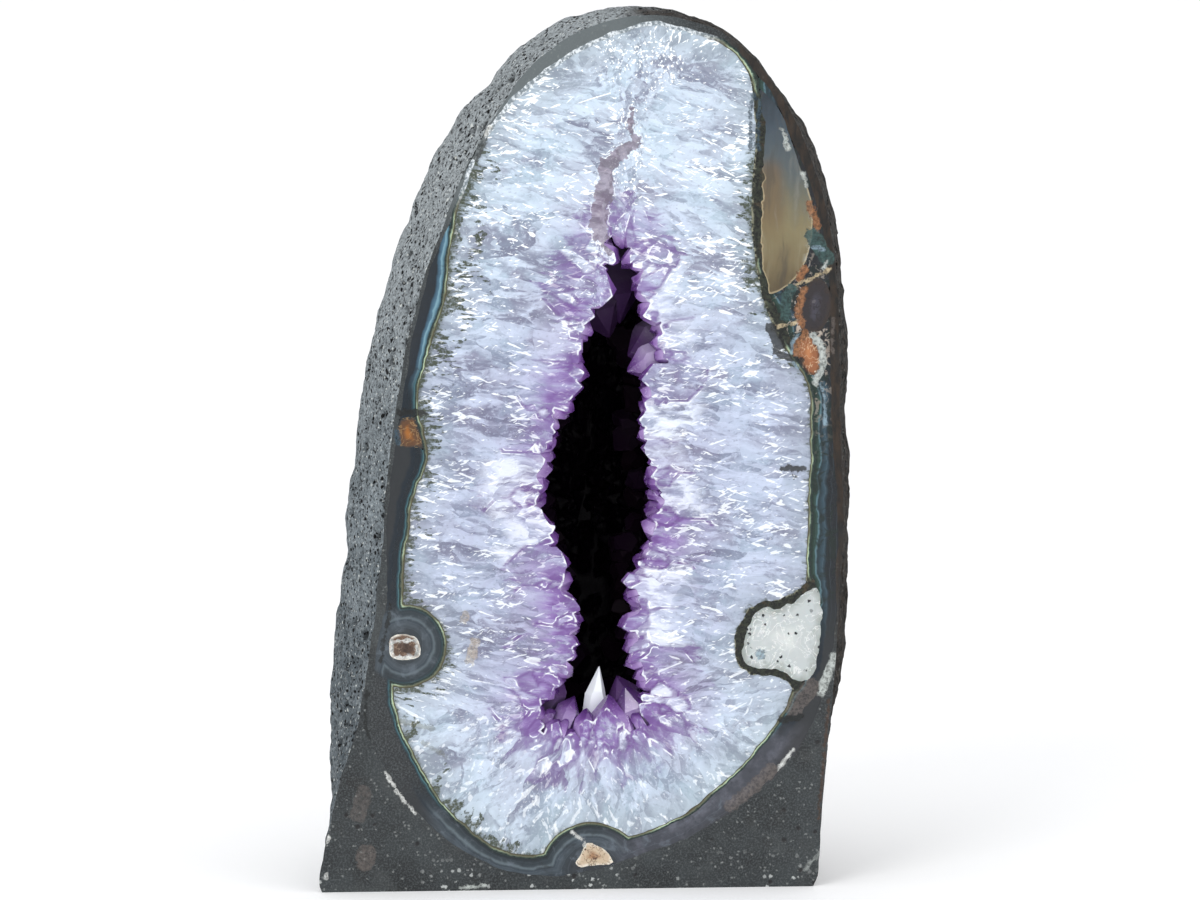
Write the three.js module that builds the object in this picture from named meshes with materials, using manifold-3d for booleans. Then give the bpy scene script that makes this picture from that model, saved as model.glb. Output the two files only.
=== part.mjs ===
// Amethyst geode: a basalt boulder sawn across the front and polished, standing on a sawn base.
// Millimetres, +Z up, the polished face looks towards -Y, X runs to the right along the face.
// The minerals are nested cups that open on the face: basalt, agate, celadonite, quartz, hollow.
import * as THREE from "three";
import { ImprovedNoise } from "three/addons/math/ImprovedNoise.js";
import { mergeVertices } from "three/addons/utils/BufferGeometryUtils.js";
import Module from "manifold-3d";

const wasm = await Module();
wasm.setup();

// ---- driving dimensions -------------------------------------------------------------------

const DEPTH = 130; // polished face to the back of the boulder
const FACE = 0; // the polished face while building; everything lies behind it
const PROUD = 1; // every cup starts this far in front of the face and is sawn back to it
const GAP = 0.3; // clearance between neighbouring minerals
const SKIN = 1.4; // thickness of the celadonite layer
const NEST = SKIN + 2 * GAP; // quartz to whatever lies outside the celadonite
const HEART = [12, 155]; // the point of the face that the nested cups close towards
const ROUNDNESS = 2.6; // 2 closes a cup as an ellipse, more keeps its walls straighter
const SAW = 1000; // size of the blocks that saw the face and the base
const SWELL_HEIGHTS = [10, 100]; // forms swell from the first height up, fully above the second
const FLATTER = {
  top: 0.38, topHeights: [240, 310], // share of the swell that the crown loses
  right: 0.45, rightSide: [-20, 60], // and the right side
};

// Outlines on the face as [x, z] points of a smooth closed curve, clockwise from the crown.
// A form also has its depth, how far it swells outwards behind the face, where it is widest and,
// if it swells less in places, how much less.
const BOULDER = {
  rim: [
    [20, 314.5], [46, 310.5], [66, 294], [82, 264], [90.5, 229], [93, 173], [94.5, 138], [92, 88],
    [87, 30], [84, -12], [64, -50], [0, -58], [-78, -50], [-96, -12], [-91, 28], [-80, 68],
    [-74, 110], [-70, 152], [-63, 198], [-51, 238], [-30, 282], [-8, 305],
  ],
  depth: DEPTH, swell: 16, widest: 40, swellHeights: [0, 80], flatter: FLATTER,
  centre: HEART, around: 56, rows: 9,
};
const RIND = {
  rim: [
    [20, 307], [44, 305], [64, 292], [77, 266], [86, 238], [89, 216], [89, 190], [91, 152],
    [92, 118], [90, 84], [80, 53], [52, 26], [14, 10], [-16, 5], [-40, 12.5], [-62, 31],
    [-77, 60], [-75, 82], [-71, 106], [-70, 138], [-65, 176], [-56, 220], [-44, 249],
    [-29, 278], [-8, 299],
  ],
  depth: 118, swell: 4, widest: 40, centre: HEART, around: 46, rows: 6,
};
const QUARTZ = {
  rim: [
    [20, 310], [42, 307], [57, 298], [61.5, 279], [61, 255], [61, 230], [66, 210], [72, 196],
    [81, 182], [82, 160], [81, 124], [80, 92], [74, 66], [47, 35], [28, 23], [2, 16],
    [-24, 13.5], [-45, 26], [-63, 54], [-68, 72], [-65, 92], [-64, 118], [-61, 140],
    [-56, 157], [-59, 177], [-50, 213], [-43, 250], [-29, 278], [-10, 296],
  ],
  depth: 108, swell: 3, widest: 36, centre: HEART, around: 46, rows: 6,
};
const HOLLOW = {
  rim: [
    [13, 232], [20, 212], [26, 194], [20, 172], [25, 148], [22, 126], [16, 104], [17, 84],
    [23, 66], [3, 57], [-14, 64], [-3, 84], [-3, 106], [-12, 132], [-14, 150], [-5, 174],
    [1, 194], [6, 214],
  ],
  depth: 80, swell: 15, widest: 34, centre: [6, 138], around: 26, rows: 5,
};

// Small minerals in the rim, each an outline on the face that closes at its own depth.
const AGATE_LENS = {
  rim: [
    [62, 288], [69, 283], [77, 263], [82.5, 246], [81, 229], [75, 219], [66, 215], [59, 224],
    [60, 255],
  ],
  depth: 26, swell: 1, widest: 8, centre: [70, 248], around: 22, rows: 4,
};
const IRONSTONE = {
  rim: [[84, 221], [88.5, 217], [89, 208], [85, 201.5], [79.5, 203], [78, 212]],
  depth: 11, swell: 0.8, widest: 4, centre: [84, 211], around: 14, rows: 4,
};
const CARNELIAN = {
  rim: [[79, 200], [83, 199.5], [85.5, 194], [84.5, 186.5], [81.5, 186], [77, 193]],
  depth: 8, swell: 0.4, widest: 3, centre: [81.5, 194], around: 12, rows: 3,
};
const CALCITE = {
  rim: [
    [84.5, 109], [86, 99.5], [85, 88], [83, 76.5], [77, 75.5], [69.5, 80], [60, 81],
    [58, 90], [64, 100.5], [75, 103],
  ],
  depth: 22, swell: 1, widest: 7, centre: [74, 91], around: 22, rows: 4,
};
const AMBER = {
  rim: [[-66, 170], [-60.5, 171.5], [-54, 170], [-53, 165], [-55, 160], [-60.5, 160.5], [-65.5, 161]],
  depth: 9, swell: 0.5, widest: 3, centre: [-60, 165.5], around: 14, rows: 3,
};
const CORE = {
  rim: [[-69, 92.5], [-60, 92], [-59, 85.5], [-64, 84], [-69, 85]],
  depth: 7, swell: 0.2, widest: 2, centre: [-64, 88.5], around: 12, rows: 3,
};
const CAP = {
  rim: [[1.5, 17], [6, 15.5], [11, 9.8], [4, 8.6], [-3, 8.4], [-1, 13]],
  depth: 7, swell: 0.2, widest: 2, centre: [3.5, 12], around: 12, rows: 3,
};

const SET_IN_RIM = [AGATE_LENS, IRONSTONE, CARNELIAN, CALCITE, AMBER];
const SET_IN_BOSSES = [CORE, CAP];

// Bosses of agate that stand into the quartz: half a ball at the left, a low dome at the bottom.
const BOSSES = [
  { middle: [-64, 89], radii: [13.5, 13.5, 13.5] },
  { middle: [3, 6], radii: [17.5, 15, 17] },
];

// Amethyst points on the wall of the hollow: rings of them from the mouth inwards, then a few
// on its closed end.
const POINTS = {
  rings: 4, // rings between the mouth and the back
  around: 10, // points in a ring
  deepest: 0.64, // how far round the cup's wall the last ring stands, of 1
  radius: [5.4, 8.4], // thinnest and thickest prism, across the corners
  reach: [7, 13], // how far a point stands off the wall, inside the hollow
  mouthReach: 0.35, // the share of that reach which the points at the mouth have
  root: 9, // how deep a foot is set in the crust
  taper: 0.8, // the foot's radius over the shoulder's
  tip: 0.95, // height of the pyramid over the prism's radius
  stray: 0.5, // how far a point leans off its true direction
  jitter: 0.3, // how far it moves along the ring, in steps
  levelling: 0.75, // 1 points it level at the middle line, 0 at the middle of the hollow
  inwards: 4, // how far behind its foot it aims
  onBack: 4, // points on the closed end
  backSpread: 90, // height over which they stand
  backWidth: 8, // width over which they stand
  backFoot: 3, // how far before the end their feet are
};

// Rough outside of the boulder: broad lumps and smaller dents.
const LUMPS = [
  { size: 46, height: 3.2 },
  { size: 17, height: 1.5 },
];
const LUMPS_FADE = 22; // distance behind the face over which the lumps grow to their height
const LUMPS_ORIGIN = new THREE.Vector3(3, 5, 7); // where the lumps are read in the noise field

// ---- geometry helpers ---------------------------------------------------------------------

// A repeatable source of numbers from 0 to 1.
function seededRandom(seed) {
  let state = seed;
  return () => {
    state = (state * 1664525 + 1013904223) % 4294967296;
    return state / 4294967296;
  };
}

function between([low, high], share) {
  return low + (high - low) * share;
}

// The smooth closed curve through an outline's points, on the plane of the face.
function rimCurve(rim) {
  const points = rim.map(([x, z]) => new THREE.Vector3(x, FACE, z));
  return new THREE.CatmullRomCurve3(points, true, "centripetal");
}

// How far a form swells behind a point of its rim.
function swellBehind(form, { x, z }) {
  const { smoothstep } = THREE.MathUtils;
  const swell = form.swell * smoothstep(z, ...(form.swellHeights ?? SWELL_HEIGHTS));
  if (!form.flatter) return swell;
  const { top, topHeights, right, rightSide } = form.flatter;
  return swell * (1 - top * smoothstep(z, ...topHeights)) * (1 - right * smoothstep(x, ...rightSide));
}

// A point of a cup's wall: `turn` runs once round the rim, `dive` from the rim (0) to the back (1).
function wallPoint(form, curve, turn, dive, grow = 0) {
  const rim = curve.getPointAt(turn % 1);
  const tangent = curve.getTangentAt(turn % 1);
  const outward = new THREE.Vector3(-tangent.z, 0, tangent.x);
  const angle = (dive * Math.PI) / 2;
  const depth = (form.depth + grow) * Math.sin(angle);
  const closing = Math.sqrt(Math.max(0, 1 - (depth / (form.depth + grow)) ** ROUNDNESS));
  const belly = Math.sin(Math.min(depth / (2 * form.widest), 1) * Math.PI);
  rim.addScaledVector(outward, grow + belly * swellBehind(form, rim));
  const [cx, cz] = form.centre;
  return new THREE.Vector3(cx + (rim.x - cx) * closing, FACE + depth, cz + (rim.z - cz) * closing);
}

// A closed surface from rings of equal length between a first and a last single point.
function skinOver(first, rings, last) {
  const around = rings[0].length;
  const vertices = [first, ...rings.flat(), last];
  const index = [];
  const at = (ring, step) => 1 + ring * around + (step % around);
  for (let step = 0; step < around; step++) {
    index.push(0, at(0, step + 1), at(0, step));
    for (let ring = 0; ring + 1 < rings.length; ring++) {
      index.push(at(ring, step), at(ring + 1, step + 1), at(ring + 1, step));
      index.push(at(ring, step), at(ring, step + 1), at(ring + 1, step + 1));
    }
    index.push(at(rings.length - 1, step), at(rings.length - 1, step + 1), vertices.length - 1);
  }
  const geometry = new THREE.BufferGeometry().setFromPoints(vertices);
  geometry.setIndex(index);
  return geometry;
}

// The cup-shaped body of a form, flat in front and closed behind, grown by `grow` all over.
function cupGeometry(form, grow = 0, roughen = (point) => point) {
  const curve = rimCurve(form.rim);
  const [cx, cz] = form.centre;
  const rings = [];
  for (let row = 0; row < form.rows; row++) {
    const ring = [];
    for (let step = 0; step < form.around; step++) {
      ring.push(roughen(wallPoint(form, curve, step / form.around, row / form.rows, grow)));
    }
    rings.push(ring);
  }
  const proudRing = rings[0].map((point) => new THREE.Vector3(point.x, FACE - PROUD, point.z));
  const frontPole = new THREE.Vector3(cx, FACE - PROUD, cz);
  const backPole = roughen(new THREE.Vector3(cx, FACE + form.depth + grow, cz));
  return skinOver(frontPole, [proudRing, ...rings], backPole);
}

// A three.js geometry as a solid that can be joined and cut.
function solidOf(geometry) {
  const bare = geometry.clone();
  bare.deleteAttribute("normal");
  bare.deleteAttribute("uv");
  const merged = mergeVertices(bare, 1e-4);
  return new wasm.Manifold(
    new wasm.Mesh({
      numProp: 3,
      vertProperties: new Float32Array(merged.attributes.position.array),
      triVerts: new Uint32Array(merged.index.array),
    }),
  );
}

function geometryOf(solid) {
  const mesh = solid.getMesh();
  const geometry = new THREE.BufferGeometry();
  geometry.setAttribute("position", new THREE.BufferAttribute(mesh.vertProperties, 3));
  geometry.setIndex(new THREE.BufferAttribute(mesh.triVerts, 1));
  return geometry;
}

function largestPiece(solid) {
  return solid.decompose().reduce((best, piece) => (piece.volume() > best.volume() ? piece : best));
}

function cup(form, grow = 0) {
  return solidOf(cupGeometry(form, grow));
}

function block(x, y, z) {
  return solidOf(new THREE.BoxGeometry(SAW, SAW, SAW).translate(x, y, z));
}

// Sawn flat along the face and along the base.
function sawn(solid) {
  return solid.subtract(block(0, FACE - SAW / 2, 0)).subtract(block(0, 0, -SAW / 2));
}

// ---- the boulder --------------------------------------------------------------------------

const noise = new ImprovedNoise();

// Lumps grow from nothing at the face to their full height behind it.
function roughBasalt(point) {
  const fade = THREE.MathUtils.smoothstep(point.y, FACE, FACE + LUMPS_FADE);
  const centre = new THREE.Vector3(HEART[0], DEPTH / 2, HEART[1]);
  const outward = point.clone().sub(centre).normalize();
  let lift = 0;
  for (const { size, height } of LUMPS) {
    const place = point.clone().divideScalar(size).add(LUMPS_ORIGIN);
    lift += height * noise.noise(place.x, place.y, place.z);
  }
  return point.addScaledVector(outward, lift * fade);
}

function boulder() {
  return solidOf(cupGeometry(BOULDER, 0, roughBasalt));
}

// ---- quartz, its points and what is set against it ----------------------------------------

function boss({ middle: [x, z], radii: [rx, ry, rz] }, grow) {
  const ball = new THREE.SphereGeometry(1, 14, 10);
  ball.scale(rx + grow, ry + grow, rz + grow).translate(x, FACE, z);
  return solidOf(ball);
}

// The quartz cup without its hollow, less the room for the bosses and the calcite. Growing it
// shrinks those rooms, so that the layers around it keep their thickness.
function quartzBody(grow) {
  let body = cup(QUARTZ, grow);
  for (const form of BOSSES) {
    body = body.subtract(boss(form, NEST - grow));
  }
  return body.subtract(cup(CALCITE, NEST - grow));
}

// One amethyst point: a hexagonal prism under a six-sided pyramid, its foot at the origin.
function amethystPoint(radius, length) {
  const profile = [
    new THREE.Vector2(0, 0),
    new THREE.Vector2(radius * POINTS.taper, 0),
    new THREE.Vector2(radius, length - radius * POINTS.tip),
    new THREE.Vector2(0, length),
  ];
  return new THREE.LatheGeometry(profile, 6);
}

// A point planted at a foot on the wall, aimed at a target with a little stray.
function plantedPoint(foot, target, reachShare, random) {
  const stray = new THREE.Vector3(random() - 0.5, random() - 0.5, random() - 0.5);
  const lean = target.clone().sub(foot).normalize().addScaledVector(stray, POINTS.stray).normalize();
  const root = foot.clone().addScaledVector(lean, -POINTS.root);
  const radius = between(POINTS.radius, random());
  const length = POINTS.root + between(POINTS.reach, random()) * reachShare;
  const point = amethystPoint(radius, length).rotateY(random() * Math.PI);
  point.applyQuaternion(new THREE.Quaternion().setFromUnitVectors(new THREE.Vector3(0, 1, 0), lean));
  return solidOf(point.translate(root.x, root.y, root.z));
}

// Points stand on the hollow's wall and lean towards its middle line.
function amethystPoints() {
  const random = seededRandom(11);
  const curve = rimCurve(HOLLOW.rim);
  const [cx, cz] = HOLLOW.centre;
  const points = [];
  for (let ring = 0; ring < POINTS.rings; ring++) {
    const inside = ring / (POINTS.rings - 1);
    const reachShare = THREE.MathUtils.lerp(POINTS.mouthReach, 1, Math.sqrt(inside));
    for (let step = 0; step < POINTS.around; step++) {
      const turn = (step + (ring % 2) / 2 + POINTS.jitter * random()) / POINTS.around;
      const foot = wallPoint(HOLLOW, curve, turn, inside * POINTS.deepest);
      const level = THREE.MathUtils.lerp(cz, foot.z, POINTS.levelling);
      const target = new THREE.Vector3(cx, foot.y + POINTS.inwards, level);
      points.push(plantedPoint(foot, target, reachShare, random));
    }
  }
  for (let step = 0; step < POINTS.onBack; step++) {
    const along = (step + 0.5) / POINTS.onBack - 0.5;
    const x = cx + POINTS.backWidth * (random() - 0.5);
    const z = cz + POINTS.backSpread * along;
    const foot = new THREE.Vector3(x, FACE + HOLLOW.depth - POINTS.backFoot, z);
    points.push(plantedPoint(foot, new THREE.Vector3(x, FACE, z), 1, random));
  }
  return points;
}

// The open hollow is what the points leave free of the cup-shaped cavity.
function hollow() {
  const points = wasm.Manifold.union(amethystPoints());
  return largestPiece(cup(HOLLOW).subtract(points));
}

// A small mineral of the rim, which stops at the celadonite.
function setStone(form) {
  return cup(form).subtract(quartzBody(NEST));
}

// A solid less the room that small minerals need in it.
function less(solid, forms) {
  return forms.reduce((rest, form) => rest.subtract(cup(form, GAP)), solid);
}

const quartz = quartzBody(0).subtract(hollow());
const celadonite = less(quartzBody(GAP + SKIN).subtract(quartzBody(GAP)), [CALCITE, ...SET_IN_BOSSES]);
const rind = less(cup(RIND).subtract(quartzBody(NEST)), [...SET_IN_RIM, ...SET_IN_BOSSES]);
const basalt = less(boulder().subtract(cup(RIND, GAP)).subtract(quartzBody(NEST)), SET_IN_RIM);

// ---- the assembly -------------------------------------------------------------------------

const group = new THREE.Group();

function add(name, solid, color, roughness) {
  const body = largestPiece(sawn(solid));
  const material = new THREE.MeshStandardMaterial({ color, roughness, metalness: 0 });
  const mesh = new THREE.Mesh(geometryOf(body), material);
  mesh.name = name;
  group.add(mesh);
}

add("basalt_matrix", basalt, 0x4b4c4f, 0.9);
add("agate_rind", rind, 0x4d5b6b, 0.2);
add("celadonite_skin", celadonite, 0x2f3d2c, 0.5);
add("quartz_amethyst_crust", quartz, 0xcbc6dc, 0.15);
add("banded_agate_lens", setStone(AGATE_LENS), 0x9a8a76, 0.2);
add("ironstone_nodule", setStone(IRONSTONE), 0x3d373f, 0.4);
add("carnelian_seam", setStone(CARNELIAN), 0xb5764a, 0.3);
add("calcite_pocket", cup(CALCITE), 0xdfe0de, 0.4);
add("amber_agate_nodule", setStone(AMBER), 0xb87a3c, 0.25);
add("calcite_core", cup(CORE), 0xd9cfc4, 0.4);
add("base_calcite_cap", cup(CAP), 0xdccfbf, 0.4);

// The origin is under the middle of the geode's box.
const middle = new THREE.Box3().setFromObject(group).getCenter(new THREE.Vector3());
group.position.set(-middle.x, -middle.y, 0);

export default group;
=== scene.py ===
"""An amethyst geode, sawn flat underneath and polished across its front, in metres.

The polished face is one plane. Every mineral that shows on it is cut out of one fine grid by the
signed distances of its outlines, so neighbours share their borders exactly. Behind the face come
the rough boulder, the wall of the hollow and the glassy amethyst points that stand on it.
"""

from __future__ import annotations

import logging
import math
from dataclasses import dataclass, field
from enum import Enum

import bpy
import numpy as np
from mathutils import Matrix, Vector

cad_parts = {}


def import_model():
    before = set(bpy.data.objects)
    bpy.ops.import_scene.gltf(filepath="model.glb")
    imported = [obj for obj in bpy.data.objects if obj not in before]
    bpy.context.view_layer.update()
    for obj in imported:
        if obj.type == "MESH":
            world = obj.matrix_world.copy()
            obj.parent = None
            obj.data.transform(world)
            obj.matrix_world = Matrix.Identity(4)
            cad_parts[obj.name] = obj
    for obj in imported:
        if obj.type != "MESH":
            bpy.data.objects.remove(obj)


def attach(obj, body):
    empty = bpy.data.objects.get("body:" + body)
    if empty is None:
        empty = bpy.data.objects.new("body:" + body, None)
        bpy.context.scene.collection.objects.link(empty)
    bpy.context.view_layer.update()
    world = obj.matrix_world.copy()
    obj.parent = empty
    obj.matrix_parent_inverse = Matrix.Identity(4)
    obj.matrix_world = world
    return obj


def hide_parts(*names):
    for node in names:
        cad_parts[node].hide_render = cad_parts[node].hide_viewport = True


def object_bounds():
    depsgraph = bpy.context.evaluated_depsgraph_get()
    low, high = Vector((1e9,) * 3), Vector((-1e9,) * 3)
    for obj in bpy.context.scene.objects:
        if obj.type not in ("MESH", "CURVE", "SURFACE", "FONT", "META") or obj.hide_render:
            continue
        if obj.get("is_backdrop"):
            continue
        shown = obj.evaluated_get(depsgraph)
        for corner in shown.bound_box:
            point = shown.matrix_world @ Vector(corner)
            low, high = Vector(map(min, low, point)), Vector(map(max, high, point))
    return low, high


LOG = logging.getLogger("geode")
MM = 0.001
Array = np.ndarray
Socket = bpy.types.NodeSocket


# ---------------------------------------------------------------------------- shapes of the face


class Mineral(Enum):
    """The solids of the frame that the pieces here stand for."""

    BASALT = "basalt_matrix"
    AGATE = "agate_rind"
    CELADONITE = "celadonite_skin"
    QUARTZ = "quartz_amethyst_crust"
    LENS = "banded_agate_lens"
    IRONSTONE = "ironstone_nodule"
    CARNELIAN = "carnelian_seam"
    CALCITE = "calcite_pocket"
    AMBER = "amber_agate_nodule"
    CORE = "calcite_core"
    CAP = "base_calcite_cap"


@dataclass(frozen=True)
class Form:
    """A cup-shaped body that opens on the face.

    Attributes:
        rim: points [x, z] in millimetres of the smooth closed outline, clockwise from the crown.
        depth: distance from the face to the closed end.
        swell: how far the wall stands outside the rim where the body is widest.
        widest: depth at which it is widest.
        centre: the point of the face that the wall closes towards.
        flatter: whether the swell is less at the crown and on the right.
    """

    rim: tuple[tuple[float, float], ...]
    depth: float = 10.0
    swell: float = 0.0
    widest: float = 5.0
    centre: tuple[float, float] = (12.0, 155.0)
    flatter: bool = False

    def outline(self, count: int) -> Array:
        """Sample the outline evenly along its length.

        Args:
            count: number of points.

        Returns:
            Points of the closed outline, (count, 2), in millimetres.
        """
        knots = np.array(self.rim, float)
        dense = [self._span(knots, i, 24) for i in range(len(knots))]
        return evenly(np.concatenate(dense), count)

    @staticmethod
    def _span(knots: Array, i: int, steps: int) -> Array:
        """One stretch of a closed centripetal Catmull-Rom curve.

        Args:
            knots: the points that the curve passes through.
            i: number of the knot at which the stretch starts.
            steps: points on the stretch.

        Returns:
            The stretch's points without its last one, (steps, 2).
        """
        p0, p1, p2, p3 = (knots[(i + k) % len(knots)] for k in (-1, 0, 1, 2))
        d0, d1, d2 = (max(np.linalg.norm(b - a) ** 0.5, 1e-4) for a, b in ((p0, p1), (p1, p2), (p2, p3)))
        m1 = ((p1 - p0) / d0 - (p2 - p0) / (d0 + d1) + (p2 - p1) / d1) * d1
        m2 = ((p2 - p1) / d1 - (p3 - p1) / (d1 + d2) + (p3 - p2) / d2) * d1
        t = np.linspace(0, 1, steps, endpoint=False)[:, None]
        return (
            (2 * t**3 - 3 * t**2 + 1) * p1
            + (t**3 - 2 * t**2 + t) * m1
            + (3 * t**2 - 2 * t**3) * p2
            + (t**3 - t**2) * m2
        )

    def _fullness(self, outline: Array) -> Array:
        """Share of the swell behind each point of an outline.

        Args:
            outline: the rim's points, (n, 2).

        Returns:
            The shares, (n,).
        """
        x, z = outline.T
        if not self.flatter:
            return smooth(z, 10, 100)
        return smooth(z, 0, 80) * (1 - 0.38 * smooth(z, 240, 310)) * (1 - 0.45 * smooth(x, -20, 60))

    def wall(self, outline: Array, depths: Array) -> Array:
        """Points of the wall behind an outline.

        Args:
            outline: the rim's points, (n, 2), clockwise.
            depths: distances behind the face as shares of the whole depth, (m,).

        Returns:
            Points [x, depth, z] in millimetres, (m, n, 3).
        """
        outward = normals_of(outline)
        rows = []
        for share in depths:
            depth = share * self.depth
            closing = math.sqrt(max(0.0, 1 - share**ROUNDNESS))
            belly = math.sin(min(depth / (2 * self.widest), 1) * math.pi)
            push = self.swell * belly * self._fullness(outline)
            loop = outline + outward * push[:, None]
            loop = np.array(self.centre) + (loop - self.centre) * closing
            rows.append(np.stack([loop[:, 0], np.full(len(loop), depth), loop[:, 1]], axis=1))
        return np.array(rows)


ROUNDNESS = 2.6  # how square-shouldered the closed end of a form is
MIDDLE = 2.8159  # the middle of the boulder's width in the outlines' own x, in millimetres
BOULDER = Form(
    rim=(
        (20, 314.5), (46, 310.5), (66, 294), (82, 264), (90.5, 229), (93, 173), (94.5, 138), (92, 88),
        (87, 30), (84, -12), (64, -50), (0, -58), (-78, -50), (-96, -12), (-91, 28), (-80, 68),
        (-74, 110), (-70, 152), (-63, 198), (-51, 238), (-30, 282), (-8, 305),
    ),
    depth=130, swell=16, widest=40, flatter=True,
)
RIND = Form(
    rim=(
        (20, 307), (44, 305), (64, 292), (77, 266), (86, 238), (89, 216), (89, 190), (91, 152),
        (92, 118), (90, 84), (80, 53), (52, 26), (14, 10), (-16, 5), (-40, 12.5), (-62, 31),
        (-77, 60), (-75, 82), (-71, 106), (-70, 138), (-65, 176), (-56, 220), (-44, 249),
        (-29, 278), (-8, 299),
    ),
)
QUARTZ = Form(
    rim=(
        (20, 310), (42, 307), (57, 298), (61.5, 279), (61, 255), (61, 230), (66, 210), (72, 196),
        (81, 182), (82, 160), (81, 124), (80, 92), (74, 66), (47, 35), (28, 23), (2, 16),
        (-24, 13.5), (-45, 26), (-63, 54), (-68, 72), (-65, 92), (-64, 118), (-61, 140),
        (-56, 157), (-59, 177), (-50, 213), (-43, 250), (-29, 278), (-10, 296),
    ),
)
HOLLOW = Form(
    rim=(
        (13, 232), (20, 212), (26, 194), (20, 172), (25, 148), (22, 126), (16, 104), (17, 84),
        (23, 66), (3, 57), (-14, 64), (-3, 84), (-3, 106), (-12, 132), (-14, 150), (-5, 174),
        (1, 194), (6, 214),
    ),
    depth=80, swell=15, widest=34, centre=(6, 138),
)
LENS = Form(
    rim=(
        (62, 288), (69, 283), (77, 263), (82.5, 246), (81, 229), (75, 219), (66, 215), (59, 224), (60, 255),
    )
)
IRONSTONE = Form(rim=((84, 221), (88.5, 217), (89, 208), (85, 201.5), (79.5, 203), (78, 212)))
CARNELIAN = Form(rim=((79, 200), (83, 199.5), (85.5, 194), (84.5, 186.5), (81.5, 186), (77, 193)))
CALCITE = Form(
    rim=(
        (84.5, 109), (86, 99.5), (85, 88), (83, 76.5), (77, 75.5), (69.5, 80), (60, 81), (58, 90),
        (64, 100.5), (75, 103),
    )
)
AMBER = Form(
    rim=((-66, 170), (-60.5, 171.5), (-54, 170), (-53, 165), (-55, 160), (-60.5, 160.5), (-65.5, 161)),
)
CORE = Form(rim=((-69, 92.5), (-60, 92), (-59, 85.5), (-64, 84), (-69, 85)))
CAP = Form(rim=((1.5, 17), (6, 15.5), (11, 9.8), (4, 8.6), (-3, 8.4), (-1, 13)))
BOSSES = (((-64.0, 89.0), (13.5, 13.5)), ((3.0, 6.0), (17.5, 17.0)))
# the crystals grow towards this line
SPINE = ((5.0, 78.0), (7.0, 150.0), (10.0, 232.0), (17.0, 270.0), (19.0, 287.0))
CHANNEL = ((18, 281), (17, 275), (19, 270), (9, 262), (8, 253), (5, 241), (9, 230))  # closed seam


# ------------------------------------------------------------------------------ small arithmetic


def smooth(value: Array, low: float, high: float) -> Array:
    """A smooth step.

    Args:
        value: numbers.
        low: the number up to which the step is 0.
        high: the number from which it is 1.

    Returns:
        The step at each number.
    """
    t = np.clip((value - low) / (high - low), 0, 1)
    return t * t * (3 - 2 * t)


def evenly(loop: Array, count: int) -> Array:
    """Space the points of a closed loop evenly.

    Args:
        loop: points, (n, 2).
        count: number of points wanted.

    Returns:
        Points, (count, 2).
    """
    closed = np.vstack([loop, loop[:1]])
    run = np.concatenate([[0], np.cumsum(np.linalg.norm(np.diff(closed, axis=0), axis=1))])
    at = np.linspace(0, run[-1], count, endpoint=False)
    return np.stack([np.interp(at, run, closed[:, k]) for k in (0, 1)], axis=1)


def normals_of(loop: Array) -> Array:
    """Outward normals of a clockwise closed loop.

    Args:
        loop: points, (n, 2).

    Returns:
        Unit vectors, (n, 2).
    """
    run = np.roll(loop, -1, axis=0) - np.roll(loop, 1, axis=0)
    run /= np.maximum(np.linalg.norm(run, axis=1, keepdims=True), 1e-9)
    return np.stack([-run[:, 1], run[:, 0]], axis=1)


def segment_distance(path: Array, at: Array) -> tuple[Array, Array]:
    """Distance from points to an open path.

    Args:
        path: the path's corners, (m, 2).
        at: points, (n, 2).

    Returns:
        The distances, (n,), and the nearest points on the path, (n, 2).
    """
    best = np.full(len(at), np.inf)
    foot = np.zeros_like(at)
    for a, b in zip(path[:-1], path[1:]):
        ab = b - a
        t = np.clip(((at - a) @ ab) / (ab @ ab), 0, 1)
        near = a + t[:, None] * ab
        d = np.linalg.norm(at - near, axis=1)
        foot[d < best] = near[d < best]
        best = np.minimum(best, d)
    return best, foot


def loop_distance(loop: Array, at: Array) -> Array:
    """Signed distance from points to a closed loop.

    Args:
        loop: the loop's points, (m, 2).
        at: points, (n, 2).

    Returns:
        Distances, negative inside, (n,).
    """
    a = loop
    b = np.roll(loop, -1, axis=0)
    ab = b - a
    rise = np.where(np.abs(ab[:, 1]) < 1e-9, 1e-9, ab[:, 1])
    out = np.empty(len(at))
    for start in range(0, len(at), 4096):
        p = at[start : start + 4096, None, :]
        ap = p - a
        t = np.clip((ap * ab).sum(-1) / (ab * ab).sum(-1), 0, 1)
        d = np.sqrt(((ap - t[..., None] * ab) ** 2).sum(-1)).min(1)
        above = (a[:, 1] > p[..., 1]) != (b[:, 1] > p[..., 1])
        left = p[..., 0] < a[:, 0] + (p[..., 1] - a[:, 1]) * ab[:, 0] / rise
        inside = (above & left).sum(1) % 2 == 1
        out[start : start + 4096] = np.where(inside, -d, d)
    return out


class Side(Enum):
    """A side of an outline, by the sign of its direction."""

    LEFT = -1
    RIGHT = 1


class Stain(Enum):
    """Colours of the small marks, in the usual 0 to 255 steps."""

    CHALK = (224, 226, 222)
    ASH = (188, 194, 190)
    SAND = (198, 180, 146)
    RUST = (150, 102, 66)
    SLATE = (58, 80, 94)
    STEEL = (136, 160, 174)
    PINE = (56, 82, 80)
    IRON = (72, 78, 78)
    TAUPE = (118, 108, 102)
    OLIVE = (102, 102, 68)
    UMBER = (76, 56, 44)
    SOOT = (20, 24, 24)


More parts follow.
